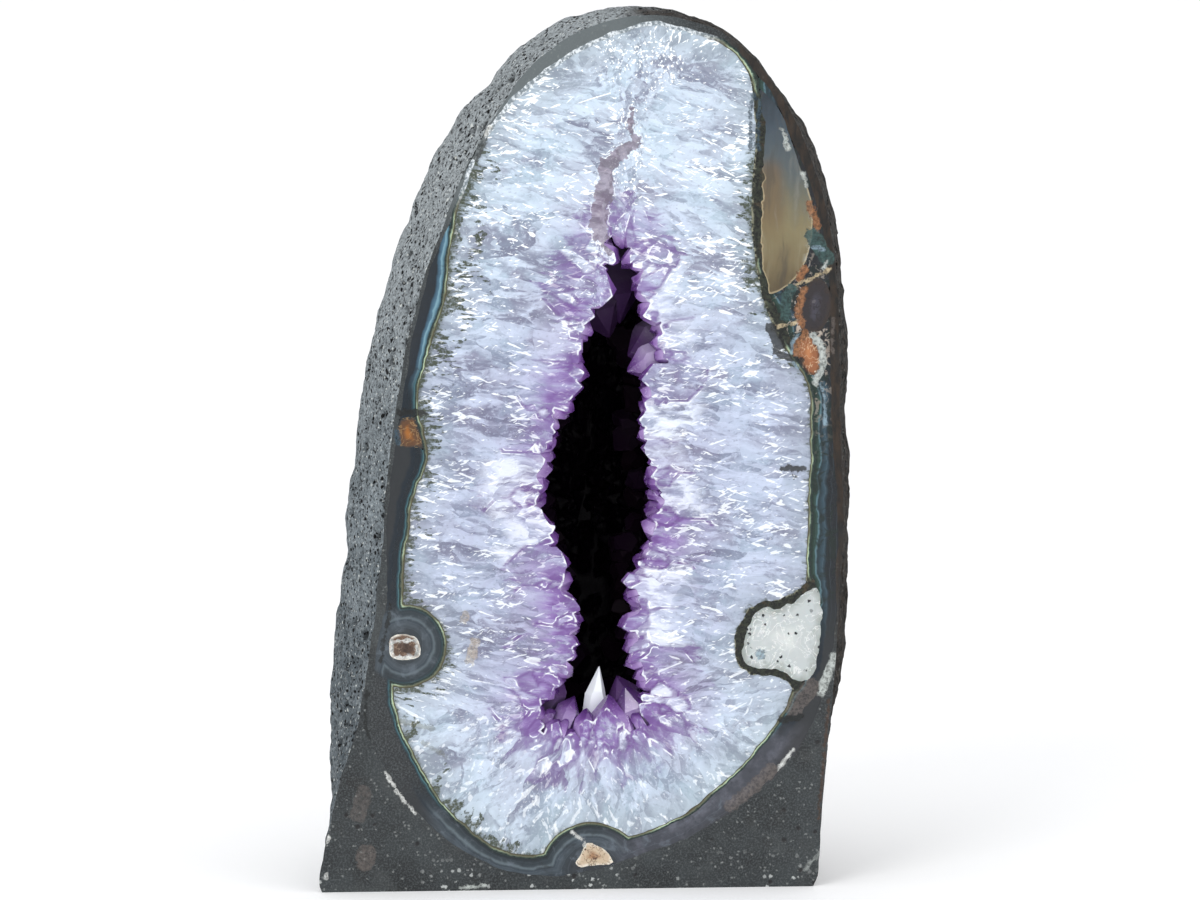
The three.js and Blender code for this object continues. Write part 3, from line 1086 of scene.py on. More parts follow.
@dataclass(frozen=True)
class MilkyQuartz:
    """Polished quartz cut along its crystals: bright flakes with painted glints and veils in icy grey, purple
    at the hollow.
    """

    ice: tuple = tone(170, 189, 204)
    smoke: tuple = tone(142, 146, 165)
    shadow: tuple = tone(106, 112, 134)
    white: tuple = tone(206, 220, 235)
    glint: tuple = tone(248, 252, 255)
    rim: tuple = tone(146, 160, 166)
    lilac: tuple = tone(224, 208, 226)
    violet: tuple = tone(138, 108, 174)
    purple: tuple = tone(90, 48, 124)
    moss: tuple = tone(44, 54, 28)
    mauve: tuple = tone(104, 94, 108)
    shards: tuple = (
        (0.0018, 0.2, 0.3, 0.615), (0.0016, 0.22, -0.34, 0.615), (0.0011, 0.26, 0.05, 0.62),
        (0.0011, 0.4, -0.7, 0.64), (0.0036, 0.3, 0.1, 0.67),
    )

    def grain(self, g: Graph, stretch: float, push: Socket | tuple, lean: float = 0.0) -> Socket:
        """Coordinates that run along the crystals.

        Args:
            g: the graph.
            stretch: below 1 it lengthens a pattern along the crystals.
            push: a vector added to the coordinates.
            lean: how far the pattern leans off the crystals' line.

        Returns:
            The coordinates.
        """
        out = g.vector("out")
        along = g.plus(g.times(g.value("reach"), stretch), g.value("start"))
        at = g.move("ADD", g.vector("foot"), g.move("SCALE", out, along))
        if lean:
            across = g.move("CROSS_PRODUCT", out, (0.0, 1.0, 0.0))
            at = g.move("ADD", at, g.move("SCALE", across, g.times(g.value("reach"), lean)))
        return g.move("ADD", at, push)

    def body(self, g: Graph, wander: Socket) -> tuple[Socket, Socket, Socket]:
        """The colour without its purple, with painted highlights and painted shadows on the faces of the
        crystals.

        Args:
            g: the graph.
            wander: bends the crystals a little.

        Returns:
            The colour, the fibres and one random number for each crystal.
        """
        lines = self.grain(g, 0.22, wander)
        crystals = g.cells(lines, 0.0074)
        tint = g.pick(crystals.outputs["Color"], 1)
        own = g.move("ADD", g.move("SCALE", crystals.outputs["Color"], 0.01), wander)
        clouds = g.noise(self.grain(g, 0.7, wander), 0.017, 6, 0.6)
        fibres = g.noise(self.grain(g, 0.3, own), 0.0036, 5, 0.62)
        crumbs = g.noise(self.grain(g, 0.6, wander), 0.0010, 4, 0.65)
        colour = g.blend(g.step(clouds, 0.42, 0.58), self.smoke, self.ice)
        wide, narrow = self.grain(g, 0.45, wander, -0.25), self.grain(g, 0.25, wander, 0.2)
        # painted highlight and painted shadow: each crystal cell is painted lighter on one side and darker on
        # the other
        for cells, at, size in ((None, wide, 0.015), (crystals, lines, 0.0074), (None, narrow, 0.003)):
            cells = cells or g.cells(at, size)
            offset = g.move("SUBTRACT", at, cells.outputs["Position"])
            slope = g.move("DOT_PRODUCT", offset, g.move("SUBTRACT", cells.outputs["Color"], (0.5, 0.5, 0.5)))
            facet_light = g.plus(g.times(slope, 1.9 / size), g.pick(cells.outputs["Color"], 1))
            colour = g.blend(g.step(facet_light, 0.62, 1.05, 0.0, 0.55), colour, self.white)
            colour = g.blend(g.step(facet_light, 0.36, -0.1, 0.0, 0.5), colour, self.shadow)
        colour = g.blend(g.step(fibres, 0.42, 0.28, 0.0, 0.5), colour, self.shadow)
        colour = g.blend(g.step(fibres, 0.52, 0.64, 0.0, 0.75), colour, self.white)
        colour = g.blend(g.step(crumbs, 0.52, 0.66, 0.0, 0.5), colour, self.white)
        colour = g.blend(g.step(crumbs, 0.44, 0.32, 0.0, 0.4), colour, self.shadow)
        return colour, fibres, tint

    def flakes(self, g: Graph, colour: Socket, share: Socket) -> Socket:
        """Lay bright flakes over a colour: white fractures with painted glints on them.

        Args:
            g: the graph.
            colour: the colour under them.
            share: how strongly they show.

        Returns:
            The colour with flakes.
        """
        cluster = g.noise(self.grain(g, 0.7, (0.3, 0.0, 0.0)), 0.014, 5, 0.66)
        for k, (size, stretch, lean, low) in enumerate(self.shards):
            # painted highlight: each flake is a white fracture painted with a glint
            n = g.noise(self.grain(g, stretch, (0.1 * k, 0.0, 0.0), lean), size, 2, 0.5)
            n = g.plus(n, g.step(cluster, 0.38, 0.62, -0.085, 0.026))
            glint_flake = g.times(g.step(n, low, low + 0.026, 0.0, 0.95), share)
            colour = g.blend(glint_flake, colour, self.glint)
        return colour

    def make(self) -> bpy.types.Material:
        """Build the material.

        Returns:
            The material.
        """
        g = Graph("milky_quartz", roughness=0.16, ior=1.54, coat_weight=0.25, coat_roughness=0.03)
        g.set(Subsurface_Weight=0.1, Subsurface_Scale=0.002, Subsurface_Radius=(1.0, 0.95, 1.2))
        here = g.here()
        wander = g.scatter(here, 0.012, 0.0022)
        colour, fibres, tint = self.body(g, wander)
        clouds = g.noise(here, 0.006, 3)
        lean = g.times(g.minus(fibres, 0.5), 0.016)
        rim = g.plus(g.value("rim"), lean)
        colour = g.blend(g.step(rim, 0.016, 0.0, 0.0, 0.45), colour, self.rim)
        place = g.node("SeparateXYZ")
        g.feed(place.inputs[0], here)
        # painted shade: the quartz is darkened a little across its middle height
        middle = g.times(g.step(place.outputs[2], 0.25, 0.17), g.step(place.outputs[2], 0.05, 0.1))
        colour = g.blend(middle, colour, tone(238, 234, 242), "MULTIPLY")
        near = g.plus(g.value("mouth"), lean)
        amount = g.value("violet")
        gem = g.value("gem")
        uneven = g.times(g.plus(g.minus(fibres, 0.5), g.times(g.minus(tint, 0.5), 0.3)), 0.03)
        # painted light: the whiter crystals at the mouth are brightened further
        close = g.step(g.plus(g.value("mouth"), uneven), 0.016, 0.011)
        lit = g.times(g.step(gem, 0.5, 0.95, 0.0, 0.75), g.step(fibres, 0.4, 0.58, 0.1, 1.0))
        colour = g.blend(g.times(close, lit), colour, tone(236, 244, 255))
        wash = g.times(
            g.step(near, 0.036, 0.004),
            g.times(g.math("MAXIMUM", amount, 0.35), g.step(gem, 0.9, 0.5, 0.4, 1.0)),
        )
        share = g.minus(g.step(place.outputs[2], 0.05, 0.1, 0.5, 1.0), g.times(middle, 0.3))
        colour = self.flakes(g, g.blend(wash, colour, self.lilac, "MULTIPLY"), share)
        pale = g.times(g.step(fibres, 0.44, 0.6, 1.0, 0.15), g.step(gem, 0.85, 0.3, 0.2, 1.0))
        band = g.times(g.step(near, 0.013, -0.002), g.times(amount, 1.1))
        colour = g.blend(g.times(band, pale), colour, self.violet)
        edge = g.times(g.step(near, 0.0042, -0.001), amount)
        colour = g.blend(g.times(edge, pale), colour, self.purple)
        border = g.plus(g.value("border"), g.times(lean, 0.05))
        dome = g.times(g.step(border, 0.0055, 0.0, 0.0, 0.6), g.plus(0.2, g.times(amount, 0.65)))
        colour = g.blend(g.times(dome, g.times(close, pale)), colour, self.violet)
        seen = g.times(close, g.plus(0.45, g.times(amount, 0.5)))
        colour = g.blend(g.times(g.step(border, 0.0016, 0.0, 0.0, 0.8), seen), colour, self.purple)
        # painted highlight: a thin bright line just inside each crystal's border
        ridge_glint = g.step(g.math("ABSOLUTE", g.minus(border, 0.0011)), 0.0004, 0.0001)
        colour = g.blend(
            g.times(g.times(ridge_glint, close), g.step(clouds, 0.52, 0.6, 0.0, 0.8)), colour, self.glint
        )
        # painted highlight: a thin bright line along the edge of the opening
        lip_glint = g.step(g.math("ABSOLUTE", g.minus(g.value("mouth"), 0.0003)), 0.0001, 0.0005, 0.9, 0.0)
        colour = g.blend(
            g.times(lip_glint, g.step(g.noise(here, 0.004, 3), 0.5, 0.58, 0.0, 0.75)), colour, self.glint
        )
        jag = g.times(g.minus(g.noise(here, 0.0034, 4, 0.62), 0.5), 0.007)
        seam = g.plus(g.value("seam"), jag)
        inner = g.blend(g.step(fibres, 0.4, 0.6), self.mauve, tone(146, 136, 152))
        colour = g.blend(g.step(seam, 0.0001, -0.0002, 0.0, 0.85), colour, inner)
        glow = g.step(g.math("ABSOLUTE", g.minus(seam, 0.0005)), 0.0004, 0.0001, 0.0, 0.55)
        colour = g.blend(g.times(glow, g.step(clouds, 0.44, 0.54)), colour, self.glint)
        tufts = g.step(g.noise(here, 0.007, 4, 0.62), 0.38, 0.62, 0.0, 1.0)
        length = g.step(g.noise(self.grain(g, 0.28, (0.0, 0.0, 0.0)), 0.0016, 3, 0.6), 0.42, 0.66)
        length = g.plus(0.0016, g.times(g.times(length, tufts), 0.017))
        over = g.minus(g.times(length, g.value("moss")), g.value("rim"))
        grit = g.step(g.noise(here, 0.0011, 3, 0.7), 0.36, 0.55, 0.6, 1.0)
        close_in = g.minus(g.plus(0.0026, g.times(jag, 0.8)), g.value("rim"))
        close_in = g.times(g.step(close_in, -0.0004, 0.0016, 0.0, 0.85), g.times(tufts, g.value("moss")))
        grown = g.math("MAXIMUM", g.step(over, -0.0008, 0.002, 0.0, 0.95), close_in)
        colour = g.blend(g.times(grown, grit), colour, self.moss)
        g.set(Base_Color=g.marked(colour), Roughness=g.step(fibres, 0.4, 0.7, 0.1, 0.3))
        g.set(Normal=g.bump(fibres, 0.0005, 0.25))
        return g.material


@dataclass(frozen=True)
class AmethystPoint:
    """Crystal points, milky lilac at the foot and purple at the tip, painted near black with painted shade
    deep inside.
    """

    name: str
    foot: tuple = tone(190, 172, 212)
    body: tuple = tone(142, 98, 178)
    tip: tuple = tone(100, 50, 140)
    deep_shade: tuple = tone(26, 14, 24)
    clear: tuple[float, float] = (0.1, 0.6)
    gloss: float = 0.5
    roughness: float = 0.06
    depth: float = 40.0

    def make(self) -> bpy.types.Material:
        """Build the material.

        Returns:
            The material.
        """
        g = Graph(self.name, roughness=self.roughness, ior=1.544, specular_ior_level=self.gloss)
        here = g.here()
        cloud = g.noise(here, 0.004, 5, 0.6, 0.6)
        along = g.plus(g.value("along"), g.times(g.minus(cloud, 0.5), 0.5))
        colour = g.ramp(along, [(0.0, self.foot), (0.55, self.body), (1.0, self.tip)])
        veil = g.noise(here, 0.0018, 6, 0.65, 1.0)
        colour = g.blend(g.step(veil, 0.55, 0.75, 0.0, 0.6), colour, tone(222, 212, 240))
        # painted shade: the points are painted darker the more shade they carry
        colour = g.blend(g.step(g.value("shade"), 0.0, 1.0), colour, self.deep_shade)
        # painted reflection: a shade of -1 paints the point white, as a mirrored lamp
        colour = g.blend(g.step(g.value("shade"), 0.0, -1.0), colour, tone(246, 250, 255))
        clear = g.times(g.step(along, 0.2, 0.9, *self.clear), g.step(veil, 0.55, 0.75, 1.0, 0.4))
        clear = g.times(clear, g.step(g.math("ABSOLUTE", g.value("shade")), 0.0, 0.8, 1.0, 0.1))
        g.set(Base_Color=colour, Transmission_Weight=clear)
        fleck = g.noise(g.move("MULTIPLY", g.vector("growth"), (0.3, 1.0, 1.0)), 0.0016, 3)
        g.set(Normal=g.bump(fleck, 0.0001, 0.25))
        volume = g.node("VolumeAbsorption")
        volume.inputs["Color"].default_value = tone(170, 110, 215)
        volume.inputs["Density"].default_value = self.depth
        g.tree.links.new(volume.outputs[0], g.tree.nodes["Material Output"].inputs["Volume"])
        return g.material


@dataclass(frozen=True)
class DarkDruse:
    """The wall of the hollow between the points: purple crystal crust, painted pale near the face and near
    black with painted shade further in.
    """

    def make(self) -> bpy.types.Material:
        """Build the material.

        Returns:
            The material.
        """
        g = Graph("dark_druse", roughness=0.4, ior=1.54, specular_ior_level=0.04)
        here = g.here()
        patch = g.noise(here, 0.008, 4)
        # painted shade: the wall is painted pale near the face and near black deeper in
        near = g.step(g.value("deep"), 0.0, 0.012)
        pale = g.blend(patch, tone(84, 50, 118), tone(146, 116, 180))
        dark = g.blend(patch, tone(4, 2, 5), tone(14, 8, 16))
        g.set(Base_Color=g.blend(near, pale, dark), Roughness=g.step(patch, 0.4, 0.7, 0.2, 0.4))
        g.set(Normal=g.bump(g.noise(here, 0.0012, 4), 0.0003, 0.4))
        return g.material


@dataclass(frozen=True)
class RoughBasalt:
    """The boulder's weathered outside, full of small gas bubbles, with painted light on its upper part and
    painted shade inside its bubbles.
    """

    def make(self) -> bpy.types.Material:
        """Build the material.

        Returns:
            The material.
        """
        g = Graph("rough_basalt", roughness=0.9, specular_ior_level=0.15)
        here = g.here()
        bent = g.move("ADD", here, g.scatter(here, 0.002, 0.0006))
        wide, fine = g.cells(bent, 0.0026), g.cells(bent, 0.0012)
        pore = g.step(wide.outputs["Distance"], 0.2, 0.36)
        pore = g.math("MAXIMUM", pore, g.step(g.pick(wide.outputs["Color"]), 0.55, 0.6))
        tiny = g.math(
            "MAXIMUM",
            g.step(fine.outputs["Distance"], 0.2, 0.42),
            g.step(g.pick(fine.outputs["Color"]), 0.4, 0.5),
        )
        pore = g.times(pore, tiny)
        grit = g.noise(here, 0.0009, 4, 0.7)
        crumb = g.noise(here, 0.0024, 4, 0.7)
        patch = g.noise(here, 0.02, 5, 0.6)
        speck = g.math("MAXIMUM", g.specks(here, 0.0019, 0.04), g.specks(here, 0.001, 0.1))
        place = g.node("SeparateXYZ")
        g.feed(place.inputs[0], here)
        # painted light: the stone is painted lighter towards the top, where the light from above falls
        high = g.step(place.outputs[2], 0.12, 0.27)
        stone = g.blend(g.step(patch, 0.35, 0.68), tone(104, 113, 118), tone(140, 149, 154))
        stone = g.blend(g.times(high, 0.6), stone, tone(178, 184, 186))
        # darker towards the bottom
        stone = g.blend(g.step(place.outputs[2], 0.15, 0.03, 0.0, 0.55), stone, tone(62, 70, 76))
        stone = g.blend(g.step(crumb, 0.52, 0.68, 0.0, 0.45), stone, tone(176, 182, 184))
        stone = g.blend(g.step(crumb, 0.45, 0.3, 0.0, 0.7), stone, tone(52, 57, 60))
        stone = g.blend(g.step(grit, 0.32, 0.62, 0.7, 0.0), stone, tone(34, 36, 38))
        # dark brown laid over the stone, strongest on the right side and near the face
        brown_patch = g.blend(g.step(crumb, 0.35, 0.65), tone(10, 8, 6), tone(46, 34, 22))
        stone = g.blend(g.value("brown_side"), stone, brown_patch)
        # painted shade: the carved bubbles and the small pores are painted near black inside
        stone = g.blend(g.times(g.value("pit_shade"), 0.8), stone, tone(18, 19, 20))
        stone = g.blend(g.minus(1.0, pore), stone, tone(14, 15, 16))
        speck = g.times(speck, g.minus(0.7, g.times(g.value("brown_side"), 0.6)))
        stone = g.blend(speck, stone, tone(206, 210, 206))
        g.set(Base_Color=stone, Roughness=g.step(grit, 0.3, 0.7, 0.72, 0.95))
        relief = g.bump(grit, 0.0005, 0.6)
        g.set(Normal=g.bump(pore, 0.0009, 0.8, relief))
        return g.material


@dataclass(frozen=True)
class PolishedBasalt:
    """Basalt ground smooth: near black, with fine specks, small bubbles and saw marks."""

    def make(self) -> bpy.types.Material:
        """Build the material.

        Returns:
            The material.
        """
        g = Graph("polished_basalt", roughness=0.4, specular_ior_level=0.4)
        here = g.here()
        patch = g.noise(here, 0.018, 5, 0.6)
        grain = g.noise(here, 0.0007, 3, 0.7)
        bubbles = g.cells(g.move("ADD", here, g.scatter(here, 0.002, 0.0005)), 0.0055)
        bubble = g.step(bubbles.outputs["Distance"], 0.1, 0.2, 1.0, 0.0)
        bubble = g.times(bubble, g.step(g.pick(bubbles.outputs["Color"]), 0.5, 0.6))
        dust = g.step(g.pick(bubbles.outputs["Color"], 1), 0.75, 0.8)
        fill = g.blend(dust, tone(22, 22, 24), tone(140, 138, 134))
        speck = g.specks(here, 0.0012, 0.12)
        stone = g.blend(g.step(patch, 0.3, 0.7), tone(26, 29, 31), tone(46, 51, 53))
        stone = g.blend(g.step(grain, 0.45, 0.65, 0.0, 0.5), stone, tone(88, 94, 95))
        stone = g.blend(g.times(speck, 0.4), stone, tone(150, 154, 152))
        stone = g.blend(bubble, stone, fill)
        place = g.node("SeparateXYZ")
        g.feed(place.inputs[0], here)
        dust = g.times(g.step(place.outputs[2], 0.016, 0.002), g.specks(here, 0.0019, 0.3))
        dust = g.times(dust, g.step(g.noise(here, 0.02, 2), 0.45, 0.6))
        stone = g.blend(g.times(dust, 0.8), stone, tone(196, 200, 198))
        smear = g.step(g.noise(here, 0.03, 5, 0.65, 0.4), 0.52, 0.7, 0.0, 0.35)
        stone = g.blend(smear, stone, tone(84, 88, 88))
        stone = g.blend(g.value("bright"), stone, tone(104, 112, 114))
        crust = g.noise(g.move("MULTIPLY", here, (1.0, 1.0, 0.35)), 0.0026, 6, 0.7, 0.4)
        crust = g.blend(g.step(crust, 0.36, 0.66), tone(6, 5, 4), tone(46, 33, 21))
        stone = g.blend(g.value("brown_side"), stone, crust)
        g.set(Base_Color=g.marked(stone), Roughness=g.step(grain, 0.3, 0.7, 0.28, 0.5))
        g.set(Normal=g.bump(bubble, -0.0004, 0.7, g.bump(grain, 0.0002, 0.15)))
        return g.material


@dataclass(frozen=True)
class BandedRind:
    """Dark agate, banded along the quartz: colours by distance from the green skin, of 12 mm."""

    low_left: tuple = (
        (0.0, (70, 112, 116)), (0.04, (36, 66, 76)), (0.09, (12, 24, 32)), (0.34, (16, 28, 38)),
        (0.42, (38, 41, 44)), (1.0, (38, 41, 44)),
    )
    high_left: tuple = (
        (0.0, (36, 58, 64)), (0.03, (70, 106, 122)), (0.08, (116, 152, 166)), (0.11, (70, 104, 124)),
        (0.17, (50, 78, 96)), (0.21, (26, 34, 42)), (1.0, (42, 45, 48)),
    )
    foot: tuple = (
        (0.0, (22, 30, 34)), (0.08, (34, 44, 50)), (0.2, (48, 58, 64)), (0.27, (92, 104, 110)),
        (0.33, (50, 60, 68)),
        (0.46, (68, 78, 86)), (0.6, (46, 54, 60)), (1.0, (44, 48, 52)),
    )
    right: tuple = (
        (0.0, (20, 36, 30)), (0.13, (30, 58, 48)), (0.17, (84, 114, 124)), (0.22, (24, 40, 46)),
        (0.36, (48, 70, 82)), (0.46, (18, 26, 32)), (1.0, (26, 28, 32)),
    )

    def make(self) -> bpy.types.Material:
        """Build the material.

        Returns:
            The material.
        """
        g = Graph("banded_rind", roughness=0.14, ior=1.5, specular_ior_level=0.4)
        here = g.here()
        sway = g.times(g.minus(g.noise(here, 0.009, 4), 0.5), 0.0022)
        inner = g.plus(g.value("inner"), g.times(sway, g.step(g.value("inner"), 0.0, 0.002)))
        line = g.node("CombineXYZ")
        g.feed(line.inputs[0], inner)
        fine = g.noise(line.outputs[0], 0.0008, 4, 0.75)
        share = g.math("DIVIDE", inner, 0.012)
        colours = [
            g.ramp(share, [(place, tone(*colour)) for place, colour in stops])
            for stops in (self.low_left, self.high_left, self.foot, self.right)
        ]
        body = g.blend(g.value("high"), colours[0], colours[1])
        body = g.blend(g.value("low"), body, colours[2])
        grain = g.noise(here, 0.0007, 3, 0.7)
        stone = g.blend(g.step(grain, 0.42, 0.68), tone(33, 36, 38), tone(70, 75, 77))
        plain = g.times(g.value("plain"), g.step(g.value("inner"), 0.0004, 0.0016))
        body = g.blend(plain, body, stone)
        body = g.blend(g.value("right"), body, colours[3])
        haze = g.blend(g.step(g.noise(here, 0.01, 5, 0.6), 0.4, 0.62), tone(60, 63, 71), tone(90, 92, 102))
        haze = g.blend(g.step(g.value("inner"), 0.009, 0.004), tone(50, 51, 55), haze)
        body = g.blend(g.value("smoky"), body, haze)
        pale = g.times(
            g.step(fine, 0.52, 0.72, 0.0, 0.25), g.math("MAXIMUM", g.value("low"), g.value("right"))
        )
        body = g.blend(pale, body, tone(126, 140, 152))
        body = g.blend(g.step(fine, 0.46, 0.3, 0.0, 0.3), body, tone(18, 21, 26))
        smoke = g.noise(here, 0.006, 6, 0.66, 0.4)
        body = g.blend(g.step(smoke, 0.52, 0.7, 0.0, 0.6), body, tone(30, 34, 38))
        mist = g.times(g.value("low"), g.step(smoke, 0.48, 0.3, 0.0, 0.55))
        body = g.blend(mist, body, tone(104, 114, 124))
        blotch = g.times(g.value("right"), g.step(g.noise(here, 0.005, 5, 0.62, 0.8), 0.5, 0.6, 0.0, 0.8))
        body = g.blend(blotch, body, tone(20, 32, 28))
        chips = g.times(g.value("chips"), g.step(g.noise(here, 0.0032, 4, 0.7, 1.0), 0.54, 0.6))
        body = g.blend(chips, body, g.blend(g.noise(here, 0.002, 3), tone(150, 120, 96), tone(216, 214, 206)))
        g.set(Base_Color=g.marked(body))
        return g.material


@dataclass(frozen=True)
class GreenSkin:
    """Celadonite: dark green outside, a cream and yellow-green line inside, moss beyond it."""

    def make(self) -> bpy.types.Material:
        """Build the material.

        Returns:
            The material.
        """
        g = Graph("green_skin", roughness=0.3, specular_ior_level=0.4)
        here = g.here()
        grain = g.noise(here, 0.0012, 5, 0.65)
        place = g.plus(g.value("layer"), g.times(g.minus(grain, 0.5), 0.5))
        line = g.ramp(
            place,
            [
                (0.0, tone(30, 50, 50)), (0.22, tone(18, 28, 26)), (0.4, tone(60, 84, 74)),
                (0.54, tone(168, 194, 168)), (0.66, tone(176, 184, 146)), (0.84, tone(54, 60, 38)),
                (1.0, tone(48, 54, 36)),
            ],
        )
        dull = g.times(g.step(g.noise(here, 0.016, 3), 0.62, 0.42, 0.0, 0.85), g.step(place, 0.3, 0.45))
        line = g.blend(dull, line, tone(66, 60, 42))
        bare = g.blend(g.step(grain, 0.45, 0.6), tone(120, 130, 136), tone(214, 220, 224))
        line = g.blend(g.value("bare"), line, bare)
        dark = g.blend(g.step(grain, 0.4, 0.65), tone(10, 14, 10), tone(40, 45, 32))
        brown_patch = g.step(g.noise(here, 0.004, 4, 0.6), 0.55, 0.68, 0.0, 0.6)
        dark = g.blend(brown_patch, dark, tone(72, 58, 40))
        crumbs = g.times(g.step(place, 0.72, 0.95), g.step(g.noise(here, 0.0016, 3), 0.5, 0.58))
        dark = g.blend(g.times(crumbs, 0.7), dark, tone(150, 150, 128))
        g.set(
            Base_Color=g.marked(g.blend(g.value("thick"), line, dark)),
            Roughness=g.step(grain, 0.3, 0.7, 0.2, 0.5),
        )
        g.set(Normal=g.bump(grain, 0.0002, 0.3))
        return g.material


@dataclass(frozen=True)
class LensAgate:
    """Agate banded along its height, blue-grey above and ochre below."""

    def make(self) -> bpy.types.Material:
        """Build the material.

        Returns:
            The material.
        """
        g = Graph("lens_agate", roughness=0.12, ior=1.54, specular_ior_level=0.45)
        g.set(Subsurface_Weight=0.1, Subsurface_Scale=0.002)
        here = g.here()
        bent = g.move("ADD", here, g.scatter(here, 0.02, 0.003))
        bands = g.noise(g.move("MULTIPLY", bent, (1.0, 1.0, 0.1)), 0.004, 4, 0.55)
        clouds = g.noise(here, 0.012, 5, 0.6)
        height = g.plus(g.value("height"), g.times(g.minus(bands, 0.5), 0.3))
        height = g.plus(height, g.times(g.minus(clouds, 0.5), 0.2))
        body = g.ramp(
            height,
            [
                (0.0, tone(82, 70, 48)), (0.18, tone(112, 100, 72)), (0.34, tone(122, 112, 82)),
                (0.5, tone(96, 96, 84)), (0.62, tone(78, 86, 88)), (0.82, tone(58, 70, 80)),
                (1.0, tone(30, 40, 48)),
            ],
        )
        left = g.times(g.step(g.value("left"), 0.36, 0.04), g.step(g.value("height"), 0.7, 0.6))
        left = g.times(left, g.step(g.value("height"), 0.2, 0.4))
        body = g.blend(g.times(left, 0.6), body, tone(104, 82, 54))
        body = g.blend(g.step(bands, 0.52, 0.75, 0.0, 0.3), body, tone(160, 154, 136))
        body = g.blend(g.step(bands, 0.44, 0.3, 0.0, 0.4), body, tone(58, 56, 54))
        rimmed = g.step(g.value("edge"), 0.0003, 0.0008, 0.6, 0.0)
        rimmed = g.times(rimmed, g.step(g.value("height"), 0.66, 0.5))
        body = g.blend(rimmed, body, tone(176, 160, 128))
        crust = g.times(g.step(g.value("left"), 0.72, 0.95), g.step(g.noise(here, 0.003, 5, 0.7), 0.45, 0.6))
        body = g.blend(g.times(crust, 0.7), body, tone(178, 186, 184))
        g.set(Base_Color=g.marked(body))
        return g.material


@dataclass(frozen=True)
class SmallMineral:
    """One of the small minerals of the rim.

    Attributes:
        name: the material's name.
        core: colour of its middle.
        body: colour between the middle and the edge.
        edge: colour along its edge.
        vein: colour of the thin veins.
        fleck: colour of scattered grains.
        rough: roughness of its polish.
        grain: size of its patches, in metres.
        flecked: share of the surface with grains, from 0 to 1.
    """

    name: str
    core: tuple
    body: tuple
    edge: tuple
    vein: tuple
    fleck: tuple
    rough: float = 0.2
    grain: float = 0.003
    flecked: float = 0.05

    def make(self) -> bpy.types.Material:
        """Build the material.

        Returns:
            The material.
        """
        g = Graph(self.name, roughness=self.rough, specular_ior_level=0.45)
        g.set(Subsurface_Weight=0.1, Subsurface_Scale=0.0015)
        here = g.here()
        patch = g.noise(here, self.grain, 5, 0.6, 0.4)
        place = g.plus(g.value("inset"), g.times(g.minus(patch, 0.5), 0.7))
        colour = g.ramp(place, [(0.0, self.edge), (0.3, self.body), (0.6, self.body), (1.0, self.core)])
        crack = g.math("ABSOLUTE", g.minus(g.noise(here, self.grain * 1.4, 4, 0.5, 1.4), 0.5))
        colour = g.blend(g.step(crack, 0.004, 0.02, 0.8, 0.0), colour, self.vein)
        colour = g.blend(g.specks(here, self.grain * 0.4, self.flecked), colour, self.fleck)
        g.set(Base_Color=g.marked(colour), Normal=g.bump(patch, 0.0003, 0.3))
        return g.material


# -------------------------------------------------------------------------- the face's minerals


